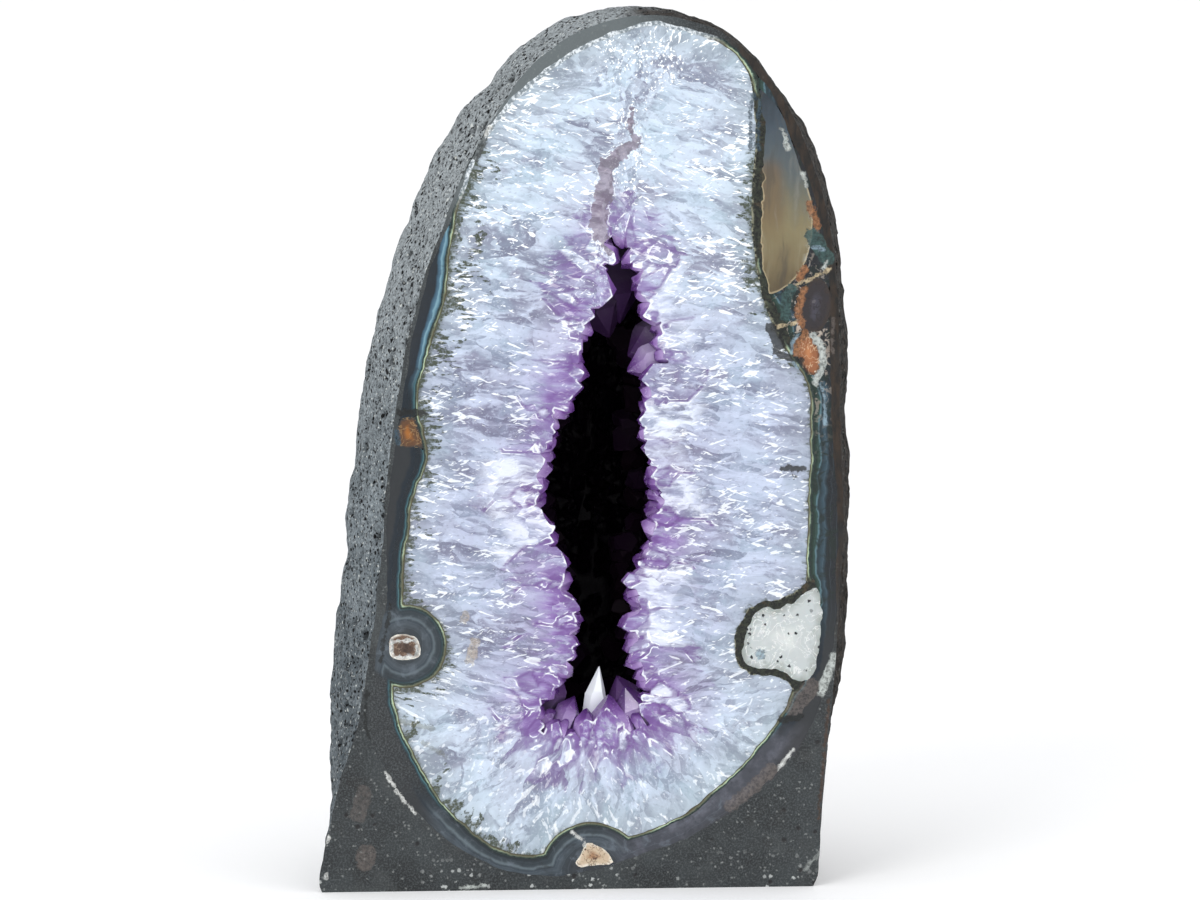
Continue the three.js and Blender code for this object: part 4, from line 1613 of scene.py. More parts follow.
@dataclass
class FaceMap:
    """Where each mineral shows on the face, as signed distances over the grid in millimetres.

    Attributes:
        face: the grid.
        skin: usual thickness of the green skin.
        mouth_room: how far the quartz is opened outside the tips of the points.
    """

    face: Face
    skin: float = 1.5
    mouth_room: float = 5.0

    def __post_init__(self) -> None:
        """Work out the outlines and distances."""
        f = self.face
        x, z = (f.at[:, k].reshape(f.shape) for k in (0, 1))
        self.x, self.z = x, z
        rim = BOULDER.outline(640)
        edge = np.concatenate([rim, np.zeros((len(rim), 1))], axis=1)
        chips = 0.9 * f.noise.fractal(edge, 10.0, 3) - 0.2
        self.boulder_rim = rim + normals_of(rim) * np.minimum(chips, 0)[:, None]
        self.boulder_rim[:, 0] -= np.sign(rim[:, 0]) * 2.4 * np.exp(-np.maximum(rim[:, 1], 0) / 2.2)
        self.boulder = np.maximum(f.distance(self.boulder_rim), -z)
        self.rind = f.distance(RIND.outline(320)) + f.wobble(9, 0.8) + f.wobble(2.5, 0.25, 9)
        quartz_alone = f.distance(QUARTZ.outline(360)) + f.wobble(12, 1.1, 20) + f.wobble(3, 0.35, 33)
        bosses = [np.hypot((x - cx) / rx, (z - cz) / rz) * rx - rx for (cx, cz), (rx, rz) in BOSSES]
        self.boss = np.minimum(*bosses) + f.wobble(6, 0.4, 50)
        self.small = {
            mineral: f.distance(form.outline(120)) + f.wobble(4, 0.5, 60 + k) + f.wobble(1.6, 0.15, 80 + k)
            for k, (mineral, form) in enumerate(SMALL_FORMS.items())
        }
        self.small[Mineral.CALCITE] += f.wobble(5, 1.3, 71) + f.wobble(2, 0.5, 72)
        calcite = self.small[Mineral.CALCITE]
        lens_side = np.exp(-(((x - 62) / 9) ** 2) - (((z - 252) / 40) ** 2))
        below_lens = np.exp(-(((x - 73) / 7) ** 2) - (((z - 205) / 9) ** 2))
        pocket = np.exp(-((np.maximum(calcite, 0) / 4) ** 2)) * (1.9 + f.wobble(2.2, 1.1, 43))
        ragged = f.wobble(2.4, 1.2, 44) * (lens_side + below_lens)
        self.thickness = (
            self.skin + f.wobble(5, 0.5, 41) + 2.4 * lens_side + 2.6 * below_lens + pocket
            + ragged
        )
        self.thickness = np.maximum(self.thickness, 0.7)
        self.quartz = np.maximum(quartz_alone, self.thickness - np.minimum(self.boss, calcite))
        self.mouth_rim = HOLLOW.outline(260)
        self.mouth_rim = self.mouth_rim + normals_of(self.mouth_rim) * self.mouth_room
        self.mouth = f.distance(self.mouth_rim)
        inclusions = np.minimum.reduce(list(self.small.values()))
        green = self.quartz - self.thickness
        self.regions = {
            Mineral.CELADONITE: np.maximum.reduce([green, -self.quartz, -calcite]),
            Mineral.AGATE: np.maximum.reduce([self.rind, -green, -inclusions]),
            Mineral.BASALT: np.maximum.reduce([self.boulder, -self.rind, -green, -inclusions]),
        }
        for mineral, distance in self.small.items():
            own = distance if mineral in (Mineral.CORE, Mineral.CAP) else np.maximum(distance, -green)
            self.regions[mineral] = np.maximum(own, self.boulder)

    @staticmethod
    def marks(at: Array) -> dict[str, Array]:
        """The small marks of the face.

        Args:
            at: points on the face in millimetres, (n, 2).

        Returns:
            For each point the nearest mark's colour and amount, and the distance to its edge in metres.
        """
        edge = np.full(len(at), 3.0)
        colour = np.zeros((len(at), 3))
        amount = np.zeros(len(at))
        for mark in MARKS:
            away = segment_distance(mark.line(), at)[0] - mark.half
            over = (away < np.maximum(edge, 0)) & (away < 1.8)
            edge[over] = away[over]
            colour[over] = tone(*mark.stain.value)[:3]
            amount[over] = mark.amount
        return {"mark_edge": edge * MM, "mark_colour": colour, "mark_amount": amount}

    def along_crystals(self, at: Array) -> dict[str, Array]:
        """What the quartz finish needs to follow the crystals.

        Args:
            at: points on the face in millimetres, (n, 2).

        Returns:
            The values by name, in metres where they are lengths.
        """
        f = self.face
        reach, foot = segment_distance(np.array(SPINE), at)
        out = (at - foot) / np.maximum(reach, 1e-6)[:, None]
        even = 6 + 15 * smooth(at[:, 1], 282, 298) + 20 * smooth(at[:, 1], 84, 62)
        start = np.minimum(reach, even)
        flat = np.zeros(len(at))
        seam, _ = segment_distance(np.array(CHANNEL), at)
        seam_width = 0.9 + 1.9 * smooth(at[:, 1], 274, 262) * smooth(at[:, 1], 225, 238)
        side = smooth(at[:, 0], 10, -30) * (0.55 + 0.45 * smooth(at[:, 1], 150, 190))
        right = smooth(at[:, 0], 45, 62) * (0.15 + 0.6 * np.exp(-(((at[:, 1] - 235) / 45) ** 2)))
        moss = np.maximum(side, right) * smooth(at[:, 1], 272, 258)
        return {
            "foot": np.stack([foot[:, 0], flat, foot[:, 1]], axis=1) * MM,
            "out": np.stack([out[:, 0], flat, out[:, 1]], axis=1),
            "start": start * MM,
            "reach": (reach - start) * MM,
            "rim": -f.read(self.quartz, at) * MM,
            "seam": (seam - seam_width) * MM,
            "moss": moss,
        }


SMALL_FORMS = {
    Mineral.LENS: LENS,
    Mineral.IRONSTONE: IRONSTONE,
    Mineral.CARNELIAN: CARNELIAN,
    Mineral.CALCITE: CALCITE,
    Mineral.AMBER: AMBER,
    Mineral.CORE: CORE,
    Mineral.CAP: CAP,
}


def slab(face: Face, points: Array, faces: list, depth: float, backed: bool) -> tuple[Array, list]:
    """Give a piece of the face its thickness.

    Args:
        face: the face.
        points: the piece's points in millimetres, (n, 2).
        faces: its faces.
        depth: thickness in millimetres.
        backed: whether the back is closed too.

    Returns:
        Points in metres and faces.
    """
    count = len(points)
    verts = np.vstack([face.place(points), face.place(points, depth)])
    edges: dict[tuple[int, int], int] = {}
    for ring in faces:
        for a, b in zip(ring, ring[1:] + ring[:1]):
            if (b, a) in edges:
                del edges[(b, a)]
            else:
                edges[(a, b)] = 1
    walls = [[b, a, a + count, b + count] for a, b in edges]
    back = [[v + count for v in reversed(ring)] for ring in faces] if backed else []
    return verts, faces + walls + back


@dataclass
class PolishedPieces:
    """The minerals around the quartz, as slabs that lie flush in the face.

    Attributes:
        chart: where each of them shows.
        depth: how deep the slabs are in millimetres.
    """

    chart: FaceMap
    depth: float = 3.0

    def _piece(
        self, name: str, mineral: Mineral, finish: bpy.types.Material, values: dict
    ) -> bpy.types.Object:
        """Cut one mineral out of the face.

        Args:
            name: the piece's name.
            mineral: the mineral.
            finish: its material.
            values: fields of the grid that its finish reads, by name.

        Returns:
            The piece.
        """
        face = self.chart.face
        points, faces = face.cut_out(self.chart.regions[mineral])
        verts, faces = slab(face, points, faces, self.depth, True)
        read = {key: np.tile(face.read(values[key], points), 2) for key in values}
        read |= {key: np.concatenate([value, value]) for key, value in self.chart.marks(points).items()}
        made = make_object(name, verts, faces, read)
        settle(made, finish, (mineral,))
        return made

    def rind(self) -> bpy.types.Object:
        """Make the agate rind.

        Returns:
            The piece.
        """
        c = self.chart
        inner = np.maximum(c.quartz - c.thickness, 0)
        values = {
            "inner": inner * MM,
            "high": smooth(c.z, 176, 200),
            "low": np.maximum(smooth(c.z, 44, 26) * smooth(c.x, -62, -46), smooth(c.boss, 1.5, -0.5) * 0.8),
            "plain": (
                smooth(c.z, 108, 94) * smooth(c.x, -30, -50) * smooth(c.boss, -0.5, 1.5)
                * smooth(c.z, 30, 44)
            ),
            "smoky": smooth(c.x, 4, 20) * smooth(c.z, 62, 52),
            "right": smooth(c.x, 40, 66) * smooth(c.z, 84, 112),
            "chips": np.exp(-((c.x - 80) / 10) ** 2 - ((c.z - 200) / 26) ** 2),
        }
        return self._piece("agate_bands", Mineral.AGATE, BandedRind().make(), values)

    def skin(self) -> bpy.types.Object:
        """Make the green skin.

        Returns:
            The piece.
        """
        c = self.chart
        layer = 1 - np.clip(c.quartz / c.thickness, 0, 1)
        thick = np.maximum(
            smooth(c.thickness, 2.1, 3.0),
            smooth(c.small[Mineral.CALCITE], 5, 3.5) * smooth(layer, 0.3, 0.45),
        )
        bare = smooth(c.z, 244, 256) * smooth(c.x, 52, 40)
        values = {"layer": layer, "thick": thick, "bare": bare}
        return self._piece("green_line", Mineral.CELADONITE, GreenSkin().make(), values)

    def lens(self) -> bpy.types.Object:
        """Make the banded lens.

        Returns:
            The piece.
        """
        c = self.chart
        region = c.regions[Mineral.LENS]
        middle = 66 + 12 * np.sin(np.clip((c.z - 205) / 85, 0, 1) * math.pi) ** 0.7
        left = np.clip((c.x - middle + 9) / 16, 0, 1)
        values = {"height": np.clip((c.z - 216) / 71, 0, 1), "edge": -region * MM, "left": left}
        return self._piece("banded_lens", Mineral.LENS, LensAgate().make(), values)

    def small(self) -> list[bpy.types.Object]:
        """Make the small minerals.

        Returns:
            The pieces.
        """
        made = []
        for mineral, (name, slot, finish) in SMALL_FINISHES.items():
            region = self.chart.regions[mineral]
            inset = np.clip(-region / max(-region.min(), 1e-6), 0, 1)
            made.append(self._piece(name, mineral, finish.make(), {"inset": inset}))
        return made


SMALL_FINISHES = {
    Mineral.IRONSTONE: (
        "dark_nodule",
        "ironstone",
        SmallMineral(
            "ironstone", tone(58, 56, 66), tone(40, 35, 38), tone(48, 38, 32),
            tone(28, 25, 27), tone(84, 80, 84),
            0.25, 0.0045, 0.04,
        ),
    ),
    Mineral.CARNELIAN: (
        "orange_seam",
        "carnelian",
        SmallMineral(
            "carnelian", tone(176, 116, 74), tone(140, 88, 56), tone(46, 32, 26),
            tone(206, 176, 142), tone(210, 196, 174),
            0.2, 0.003, 0.06,
        ),
    ),
    Mineral.CALCITE: (
        "white_pocket",
        "calcite",
        SmallMineral(
            "calcite", tone(204, 208, 206), tone(184, 190, 190), tone(150, 156, 152),
            tone(222, 224, 222), tone(34, 36, 40),
            0.25, 0.0042, 0.1,
        ),
    ),
    Mineral.AMBER: (
        "amber_nodule",
        "amber_agate",
        SmallMineral(
            "amber_agate", tone(150, 92, 32), tone(88, 58, 34), tone(34, 40, 42),
            tone(150, 120, 80), tone(196, 160, 110),
            0.12, 0.004, 0.02,
        ),
    ),
    Mineral.CORE: (
        "boss_core",
        "brown_calcite",
        SmallMineral(
            "brown_calcite", tone(70, 52, 42), tone(92, 70, 54), tone(226, 222, 212),
            tone(150, 130, 112), tone(226, 220, 210),
            0.3, 0.003, 0.03,
        ),
    ),
    Mineral.CAP: (
        "base_chip",
        "cream_calcite",
        SmallMineral(
            "cream_calcite", tone(160, 124, 92), tone(196, 176, 150), tone(224, 216, 200),
            tone(96, 68, 50), tone(80, 54, 42),
            0.3, 0.0028, 0.12,
        ),
    ),
}


# ------------------------------------------------------------------------------------ the boulder


def saw_off(verts: Array, faces: Array) -> tuple[Array, list, Array, Array]:
    """Saw off what lies under z = 0.

    Args:
        verts: vertices in metres, (n, 3).
        faces: quads, (m, 4).

    Returns:
        Vertices, faces, the new vertices' numbers and, for each vertex, the number of an old
        vertex whose values it takes.
    """
    under = verts[:, 2] < 0
    low = under[faces]
    keep = faces[~low.any(axis=1)].tolist()
    extra: dict[tuple[int, int], int] = {}
    points: list = []
    source: list = []
    for ring in faces[low.any(axis=1) & ~low.all(axis=1)].tolist():
        polygon = []
        for a, b in zip(ring, ring[1:] + ring[:1]):
            if not under[a]:
                polygon.append(a)
            if under[a] != under[b]:
                key = (min(a, b), max(a, b))
                if key not in extra:
                    t = verts[a, 2] / (verts[a, 2] - verts[b, 2])
                    extra[key] = len(verts) + len(points)
                    points.append(verts[a] + t * (verts[b] - verts[a]))
                    source.append(a)
                polygon.append(extra[key])
        if len(polygon) > 2:
            keep.append(polygon)
    everything = np.vstack([verts, points])
    everything[len(verts) :, 2] = 0
    origin = np.concatenate([np.arange(len(verts)), source]).astype(int)
    used = np.unique(np.concatenate([np.array(f) for f in keep]))
    number = np.full(len(everything), -1)
    number[used] = np.arange(len(used))
    faces_kept = [number[f].tolist() for f in keep]
    cut = number[np.arange(len(verts), len(everything))]
    return everything[used], faces_kept, cut[cut >= 0], origin[used]


@dataclass
class Boulder:
    """The basalt: its rough outside, its polished ring on the face and its sawn base.

    Attributes:
        chart: the face.
        box: lowest and highest corner that it may reach, in metres.
        lumps: size and height of the broad lumps in millimetres.
        fine_from: how far behind the face the rings lie close together.
        ring_step: distance between those rings.
        back_rings: rings on the rest.
        noise: shapes the lumps and bubbles.
    """

    chart: FaceMap
    box: tuple[Vector, Vector]
    lumps: tuple[tuple[float, float], ...] = ((46.0, 2.6), (17.0, 1.3), (7.0, 0.7))
    fine_from: float = 46.0
    ring_step: float = 0.95
    back_rings: int = 88
    noise: NoiseField = field(default_factory=lambda: NoiseField(12))

    def _rings(self) -> Array:
        """Work out where the rings lie.

        Returns:
            Shares of the whole depth, (n,).
        """
        front = np.arange(0, self.fine_from, self.ring_step) / BOULDER.depth
        start = math.asin(min(1.0, (self.fine_from / BOULDER.depth) ** (ROUNDNESS / 2)))
        angles = np.linspace(start, math.pi / 2 - 0.004, self.back_rings)
        return np.concatenate([front, np.sin(angles) ** (2 / ROUNDNESS)])

    def hide(self) -> tuple[bpy.types.Object, bpy.types.Object]:
        """Make the rough outside and the sawn base.

        Returns:
            Both pieces.
        """
        wall = BOULDER.wall(self.chart.boulder_rim, self._rings())
        along = np.gradient(wall, axis=0)
        around = np.roll(wall, -1, axis=1) - np.roll(wall, 1, axis=1)
        outward = np.cross(around, along)
        outward /= np.maximum(np.linalg.norm(outward, axis=2, keepdims=True), 1e-9)
        depth = wall[..., 1].ravel()
        flat = wall.reshape(-1, 3)
        lift = np.zeros(len(flat))
        for size, height in self.lumps:
            lift += height * (self.noise.fractal(flat + size, size, 2) - 0.3) * smooth(depth, 0, size / 2)
        bubbles = self.noise.pits(flat, 6.5, (0.8, 2.6), 0.8)
        bubbles = np.maximum(bubbles, self.noise.pits(flat + 50, 3.4, (0.5, 1.4), 0.9))
        lift += 0.35 * self.noise.fractal(flat, 2.6, 2) * smooth(depth, 0, 2)
        lift -= bubbles * smooth(depth, 0, 1.5)
        place = flat + outward.reshape(-1, 3) * lift[:, None]
        place = place * MM + np.array([self.chart.face.shift * MM, self.chart.face.y, 0])
        low, high = (np.array(corner) for corner in self.box)
        low[2] = -1
        place = np.clip(place, low, high)
        faces = np.array(grid_faces(len(wall), wall.shape[1]))
        verts, kept, cut, origin = saw_off(place, faces)
        # share of dark brown on the rough outside: more towards the right, near the face and at the top right
        near = np.exp(-np.maximum(depth, 0) / 22) * smooth(flat[:, 0], 0, 40)
        side = flat[:, 0] / 46 - 0.75 + near + 0.5 * smooth(flat[:, 2], 200, 300) * smooth(flat[:, 0], 0, 40)
        brown_side = smooth(self.noise.fractal(flat, 26, 5) * 1.3 + side, -0.2, 1.0)
        values = {"pit_shade": smooth(bubbles, 0.3, 1.3)[origin], "brown_side": brown_side[origin] * 0.92}
        hide = make_object("rough_boulder", verts, kept, values)
        shade(hide, True)
        settle(hide, RoughBasalt().make(), (Mineral.BASALT,))
        return hide, self._base(verts[cut])

    def _base(self, rim: Array) -> bpy.types.Object:
        """Close the sawn underside.

        Args:
            rim: points of its edge in metres, in any order.

        Returns:
            The piece.
        """
        middle = rim.mean(axis=0)
        turn = np.arctan2(rim[:, 1] - middle[1], rim[:, 0] - middle[0])
        rim = rim[np.argsort(-turn)]
        rings = [middle + (rim - middle) * share for share in (1.0, 0.75, 0.5, 0.25)]
        faces = grid_faces(len(rings), len(rim))
        faces.append([len(rim) * 3 + k for k in range(len(rim))])
        count = len(rim) * len(rings)
        still = {"brown_side": np.zeros(count), "bright": np.zeros(count), "mark_edge": np.ones(count)}
        base = make_object("sawn_base", np.vstack(rings), [list(reversed(f)) for f in faces], still)
        settle(base, PolishedBasalt().make(), (Mineral.BASALT,))
        return base

    def polished_ring(self) -> bpy.types.Object:
        """Make the basalt that shows on the face.

        Returns:
            The piece.
        """
        face = self.chart.face
        c = self.chart
        points, faces = face.cut_out(c.regions[Mineral.BASALT])
        brown_side = smooth(c.x, 44, 62) * smooth(c.z, 70, 130) + face.wobble(8, 0.2, 5)
        bright = smooth(c.z, 225, 262) * smooth(c.x, 40, 10) * 0.7
        values = {
            "brown_side": face.read(np.clip(brown_side, 0, 1) * (brown_side > 0.05), points),
            "bright": face.read(bright, points),
            **c.marks(points),
        }
        ring = make_object("polished_basalt", face.place(points), faces, values)
        settle(ring, PolishedBasalt().make(), (Mineral.BASALT,))
        return ring


# ---------------------------------------------------------------------------- quartz and amethyst


def cleave(solid: list[Array], point: Array, normal: Array) -> list[Array]:
    """Cut away the part of a convex solid beyond a plane.

    Args:
        solid: the solid's flat faces, each (k, 3).
        point: a point of the plane.
        normal: the plane's normal, towards what goes.

    Returns:
        The faces that are left, the cut last.
    """
    kept: list[Array] = []
    rim: list[Array] = []
    for polygon in solid:
        side = (polygon - point) @ normal
        ring: list[Array] = []
        for k, (a, b) in enumerate(zip(polygon, np.roll(polygon, -1, axis=0))):
            sa, sb = side[k], side[(k + 1) % len(side)]
            if sa <= 0:
                ring.append(a)
            if (sa <= 0) != (sb <= 0):
                crossing = a + (b - a) * (sa / (sa - sb))
                ring.append(crossing)
                rim.append(crossing)
        if len(ring) > 2:
            kept.append(np.array(ring))
    if len(rim) > 2:
        cap = np.unique(np.round(np.array(rim), 7), axis=0)
        if len(cap) > 2:
            u = np.cross(normal, (0.31, 0.52, 0.79))
            u /= np.linalg.norm(u)
            v = np.cross(normal, u)
            flat = cap - cap.mean(axis=0)
            kept.append(cap[np.argsort(np.arctan2(flat @ v, flat @ u))])
    return kept


@dataclass
class Gem:
    """One quartz point: an uneven hexagonal prism under six uneven pyramid faces.

    Attributes:
        foot: where it leaves the wall, [x, depth, z] in millimetres.
        aim: vector along it.
        radius: across the prism's flats, halved.
        reach: length from the foot to the tip.
        root: length behind the foot.
        shade: how much painted shade darkens it, from 0 to 1, or -1 for a painted white reflection of a lamp.
        deep: whether it stands well behind the face.
        milk: how white it is where the face cuts it, from 0 to 1, or -1 to leave it to chance; the whiter
            ones at the mouth also get painted light.
        slope: how flat its pyramid is.
        blunt: how uneven its tip is.
    """

    foot: Array
    aim: Array
    radius: float
    reach: float
    root: float = 5.0
    shade: float = 0.0
    deep: bool = False
    milk: float = -1.0
    slope: float = 0.618
    blunt: float = 1.0

    def __post_init__(self) -> None:
        """Work out the axis and two directions across it."""
        self.axis = self.aim / np.linalg.norm(self.aim)
        u = np.cross(self.axis, (0.13, 0.95, 0.29))
        self.u = u / np.linalg.norm(u)
        self.v = np.cross(self.axis, self.u)

    def cut(self, rng: np.random.Generator) -> list[Array]:
        """Cut the point out of a block.

        Args:
            rng: source of its unevenness.

        Returns:
            Its flat faces.
        """
        wide = self.radius * 3
        ends = (-self.axis * self.root, self.axis * self.reach * 1.6)
        block = [
            self.foot + self.u * i + self.v * j + end
            for i in (-wide, wide)
            for j in (-wide, wide)
            for end in ends
        ]
        rings = ((0, 1, 3, 2), (4, 6, 7, 5), (0, 4, 5, 1), (2, 3, 7, 6), (0, 2, 6, 4), (1, 5, 7, 3))
        solid = [np.array([block[n] for n in ring]) for ring in rings]
        start = rng.random() * math.pi / 3
        tip = self.foot + self.axis * self.reach
        for k in range(6):
            angle = start + k * math.pi / 3 + rng.normal(0, 0.03)
            side = self.u * math.cos(angle) + self.v * math.sin(angle)
            solid = cleave(solid, self.foot + side * self.radius * rng.uniform(0.78, 1.05), side)
            back = self.radius * self.blunt * (rng.uniform(0, 0.15) if k % 2 else rng.uniform(0.1, 0.75))
            flank = side * math.sqrt(1 - self.slope**2) + self.axis * self.slope
            solid = cleave(solid, tip - self.axis * back, flank)
        return solid


@dataclass
class Quartz:
    """The quartz bed with its hollow, and the amethyst points in it.

    Attributes:
        chart: the face.
        seed: start of the random numbers.
        rows: depths behind the face of the rings of points, in millimetres.
        patches: where the quartz is more or less purple, as x, z, size and change.
    """

    chart: FaceMap
    seed: int = 5
    rows: tuple[float, ...] = (1.5, 4.5, 8.0, 12.0, 18.0, 25.0, 33.0, 42.0, 52.0, 62.0)
    patches: tuple[tuple[float, float, float, float], ...] = (
        (30, 133, 11, 0.45), (-3, 212, 12, 0.25), (6, 60, 20, 0.35), (-13, 100, 12, 0.3),
        (-16, 135, 9, 0.3),
        (28, 170, 15, -0.3), (-16, 124, 6, -0.35), (-10, 182, 14, 0.35), (28, 146, 6, -0.35),
        (26, 100, 12, -0.3),
    )

    def _mouth_gems(self, rng: np.random.Generator) -> list[Gem]:
        """Points that lie in the face's plane and are cut by it.

        Args:
            rng: source of their unevenness.

        Returns:
            The points.
        """
        loop = self.chart.mouth_rim
        outward = normals_of(loop)
        steps = np.linalg.norm(np.roll(loop, -1, axis=0) - loop, axis=1)
        run = np.concatenate([[0], np.cumsum(steps)])
        gems: list[Gem] = []
        at = 0.0
        while at < run[-1] - 2:
            radius = rng.choice([1.8, 3.0, 4.4, 5.6]) * rng.uniform(0.85, 1.15)
            at += radius * 0.95
            k = int(np.searchsorted(run, at)) % len(loop)
            lean = -outward[k] + rng.normal(0, 0.25, 2)
            aim = np.array([lean[0], rng.normal(0.1, 0.15), lean[1]])
            reach = self.chart.mouth_room + rng.uniform(-3.2, 2.8) + radius * 0.4
            foot = np.array([loop[k, 0], rng.uniform(-1.0, 2.0), loop[k, 1]])
            gems.append(Gem(foot, aim, radius, reach, rng.uniform(3, 8)))
            at += radius * 0.85
        return gems

    def _inner_gems(self, rng: np.random.Generator) -> list[Gem]:
        """Points on the wall of the hollow behind the face.

        Args:
            rng: source of their unevenness.

        Returns:
            The points.
        """
        gems = []
        for row, depth in enumerate(self.rows):
            share = depth / HOLLOW.depth
            rings = HOLLOW.wall(self.chart.mouth_rim, np.array([share - 0.01, share, share + 0.01]))
            loop = rings[1]
            around = np.roll(loop, -1, axis=0) - np.roll(loop, 1, axis=0)
            inward = -np.cross(around, rings[2] - rings[0])
            inward /= np.linalg.norm(inward, axis=1, keepdims=True)
            length = np.linalg.norm(around, axis=1).sum() / 2
            count = int(length / (4.6 + 0.4 * row))
            for n in range(count):
                k = int((n + 0.5 * (row % 2) + rng.uniform(-0.3, 0.3)) / count * len(loop)) % len(loop)
                aim = inward[k] + rng.normal(0, 0.26, 3) + (0, -0.1, 0)
                radius = rng.uniform(2.0, 4.2) + 0.2 * row
                reach = rng.uniform(8.0, 12.5) if row < 3 else rng.uniform(6.0, 9.5) + radius * 0.6
                # painted shade: rows further behind the face are painted darker
                shade = float(smooth(np.array(depth), -2, 17)) * rng.uniform(0.88, 1.0)
                gems.append(Gem(loop[k], aim, radius, reach, 4.0, shade, depth > 6))
        return gems

    @staticmethod
    def _feature_gems() -> list[Gem]:
        """The large points at the foot of the mouth and the bright ones beside it.

        Returns:
            The points.
        """
        standing = (
            ((9.5, 5, 57), (-0.02, -0.1, 1), 8.5, 15.0, 0.05, 0.58),
            ((1, 4, 56), (0.05, -0.1, 1), 4.6, 10.5, 0.1, 0.6),
            ((-7, 7, 60), (0.5, 0.1, 1), 5.0, 11.0, 0.3, 0.6),
            ((4.4, 11, 63), (0.12, -0.15, 1), 3.4, 18.0, -1.0, 0.3),
            ((20, 9, 62), (-0.4, -0.2, 1), 6.0, 13.0, 0.35, 0.6),
            ((18, 16, 64), (-0.4, -0.3, 1), 6.0, 14.0, 0.6, 0.6),
            ((-12, 14, 66), (0.4, -0.3, 1), 5.5, 13.0, 0.62, 0.6),
            ((12, 26, 226), (0.15, -0.2, -1), 9.0, 24.0, 0.74, 0.6),
            ((27, 20, 198), (-0.8, -0.3, -0.5), 8.0, 13.0, 0.68, 0.6),
            ((6, 24, 214), (0.35, -0.3, -1), 8.0, 18.0, 0.78, 0.6),
            ((24, 9, 190), (-0.8, -0.1, -0.3), 6.5, 9.0, 0.3, 0.6),
        )
        lying = (
            ((1.5, 217.5), (1, 0.02), 7.5, 14.5, 0.45), ((38, 214), (-1, -0.15), 6.0, 17.0, 0.9),
            ((36, 200), (-1, -0.1), 5.5, 12.0, 0.8), ((34, 184), (-1, 0), 6.5, 16.5, 0.55),
            ((36, 169), (-1, 0), 7.5, 19.0, 1.0),
            ((38, 158), (-1, 0.08), 5.5, 18.5, 0.7), ((40, 144), (-1, -0.08), 6.0, 16.0, 1.0),
            ((-14, 199), (1, -0.1), 6.5, 16.5, 0.6),
            ((-14, 184), (1, -0.06), 8.0, 17.5, 0.35), ((-23, 166), (1, -0.15), 7.0, 16.5, 0.5),
            ((-27, 152), (1, 0), 5.5, 15.5, 0.9),
            ((-25, 131), (1, -0.08), 6.5, 17.5, 1.0), ((-18, 119), (1, -0.05), 6.5, 15.5, 0.45),
            ((-18, 103), (1, -0.05), 6.0, 16.5, 0.2),
            ((-15, 89), (1, -0.3), 6.5, 16.0, 0.4), ((32, 109), (-1, 0.05), 7.0, 15.5, 1.0),
            ((34, 94), (-1, 0.02), 7.0, 16.5, 0.9),
            ((36, 126), (-1, 0.1), 5.0, 15.0, 0.1), ((33, 82), (-1, 0.1), 6.0, 14.0, 0.55),
        )
        gems = [
            Gem(
                np.array(foot, float),
                np.array(aim, float),
                radius,
                reach,
                6.0,
                shade,
                slope=slope,
                blunt=0.3,
            )
            for foot, aim, radius, reach, shade, slope in standing
        ]
        for (x, z), (right, up), radius, reach, milk in lying:
            foot, aim = np.array([x, 1.2, z]), np.array([right, 0.06, up])
            gems.append(Gem(foot, aim, radius, reach, 3.0, 0.1, milk=milk, slope=0.66, blunt=0.8))
        return gems

    def build(self) -> list[bpy.types.Object]:
        """Make the polished bed, the wall of the hollow and the points.

        Returns:
            The pieces.
        """
        rng = np.random.default_rng(self.seed)
        solids = []
        caps = np.full(self.chart.face.shape, np.inf)
        first, second = caps.copy(), caps.copy()
        gem_tone = np.zeros(self.chart.face.shape)
        for gem in self._mouth_gems(rng) + self._feature_gems() + self._inner_gems(rng):
            solid = gem.cut(rng)
            level = rng.uniform(0.04, 0.3)
            above = min(polygon[:, 1].min() for polygon in solid) < level
            solid = cleave(solid, np.array([0.0, level, 0.0]), np.array([0.0, -1.0, 0.0]))
            if not solid:
                continue
            if above:
                cap = self._polygon(solid[-1][:, [0, 2]])
                caps = np.minimum(caps, cap)
                milk, lead = (rng.random(), 0.0) if gem.milk < 0 else (gem.milk, 3.0)
                gem_tone = np.where(cap - lead < first, milk, gem_tone)
                second = np.minimum(second, np.maximum(cap - lead, first))
                first = np.minimum(first, cap - lead)
            solids.append((gem, solid))
        opening = np.maximum(self.chart.mouth, -caps)
        front = AmethystPoint("amethyst_point")
        back = AmethystPoint("amethyst_deep", clear=(0.0, 0.3), gloss=0.05, roughness=0.4)
        return [
            self._bed(opening, {"gem": gem_tone, "border": np.minimum(second - first, 9) * MM}),
            self._wall(),
            self._points(
                "amethyst_points",
                front,
                [pair for pair in solids if not pair[0].deep and pair[0].shade < 0.4],
            ),
            self._points(
                "inner_points", back, [pair for pair in solids if pair[0].deep or pair[0].shade >= 0.4]
            ),
        ]

    def _polygon(self, corners: Array) -> Array:
        """Distance over the grid to a convex polygon.

        Args:
            corners: its corners [x, z], (n, 2).

        Returns:
            Distances, negative inside.
        """
        middle = corners.mean(axis=0)
        distance = np.full(self.chart.face.shape, -np.inf)
        for a, b in zip(corners, np.roll(corners, -1, axis=0)):
            run = b - a
            size = np.linalg.norm(run)
            if size < 1e-6:
                continue
            normal = np.array([run[1], -run[0]]) / size
            if normal @ (middle - a) > 0:
                normal = -normal
            distance = np.maximum(
                distance, (self.chart.x - a[0]) * normal[0] + (self.chart.z - a[1]) * normal[1]
            )
        return distance

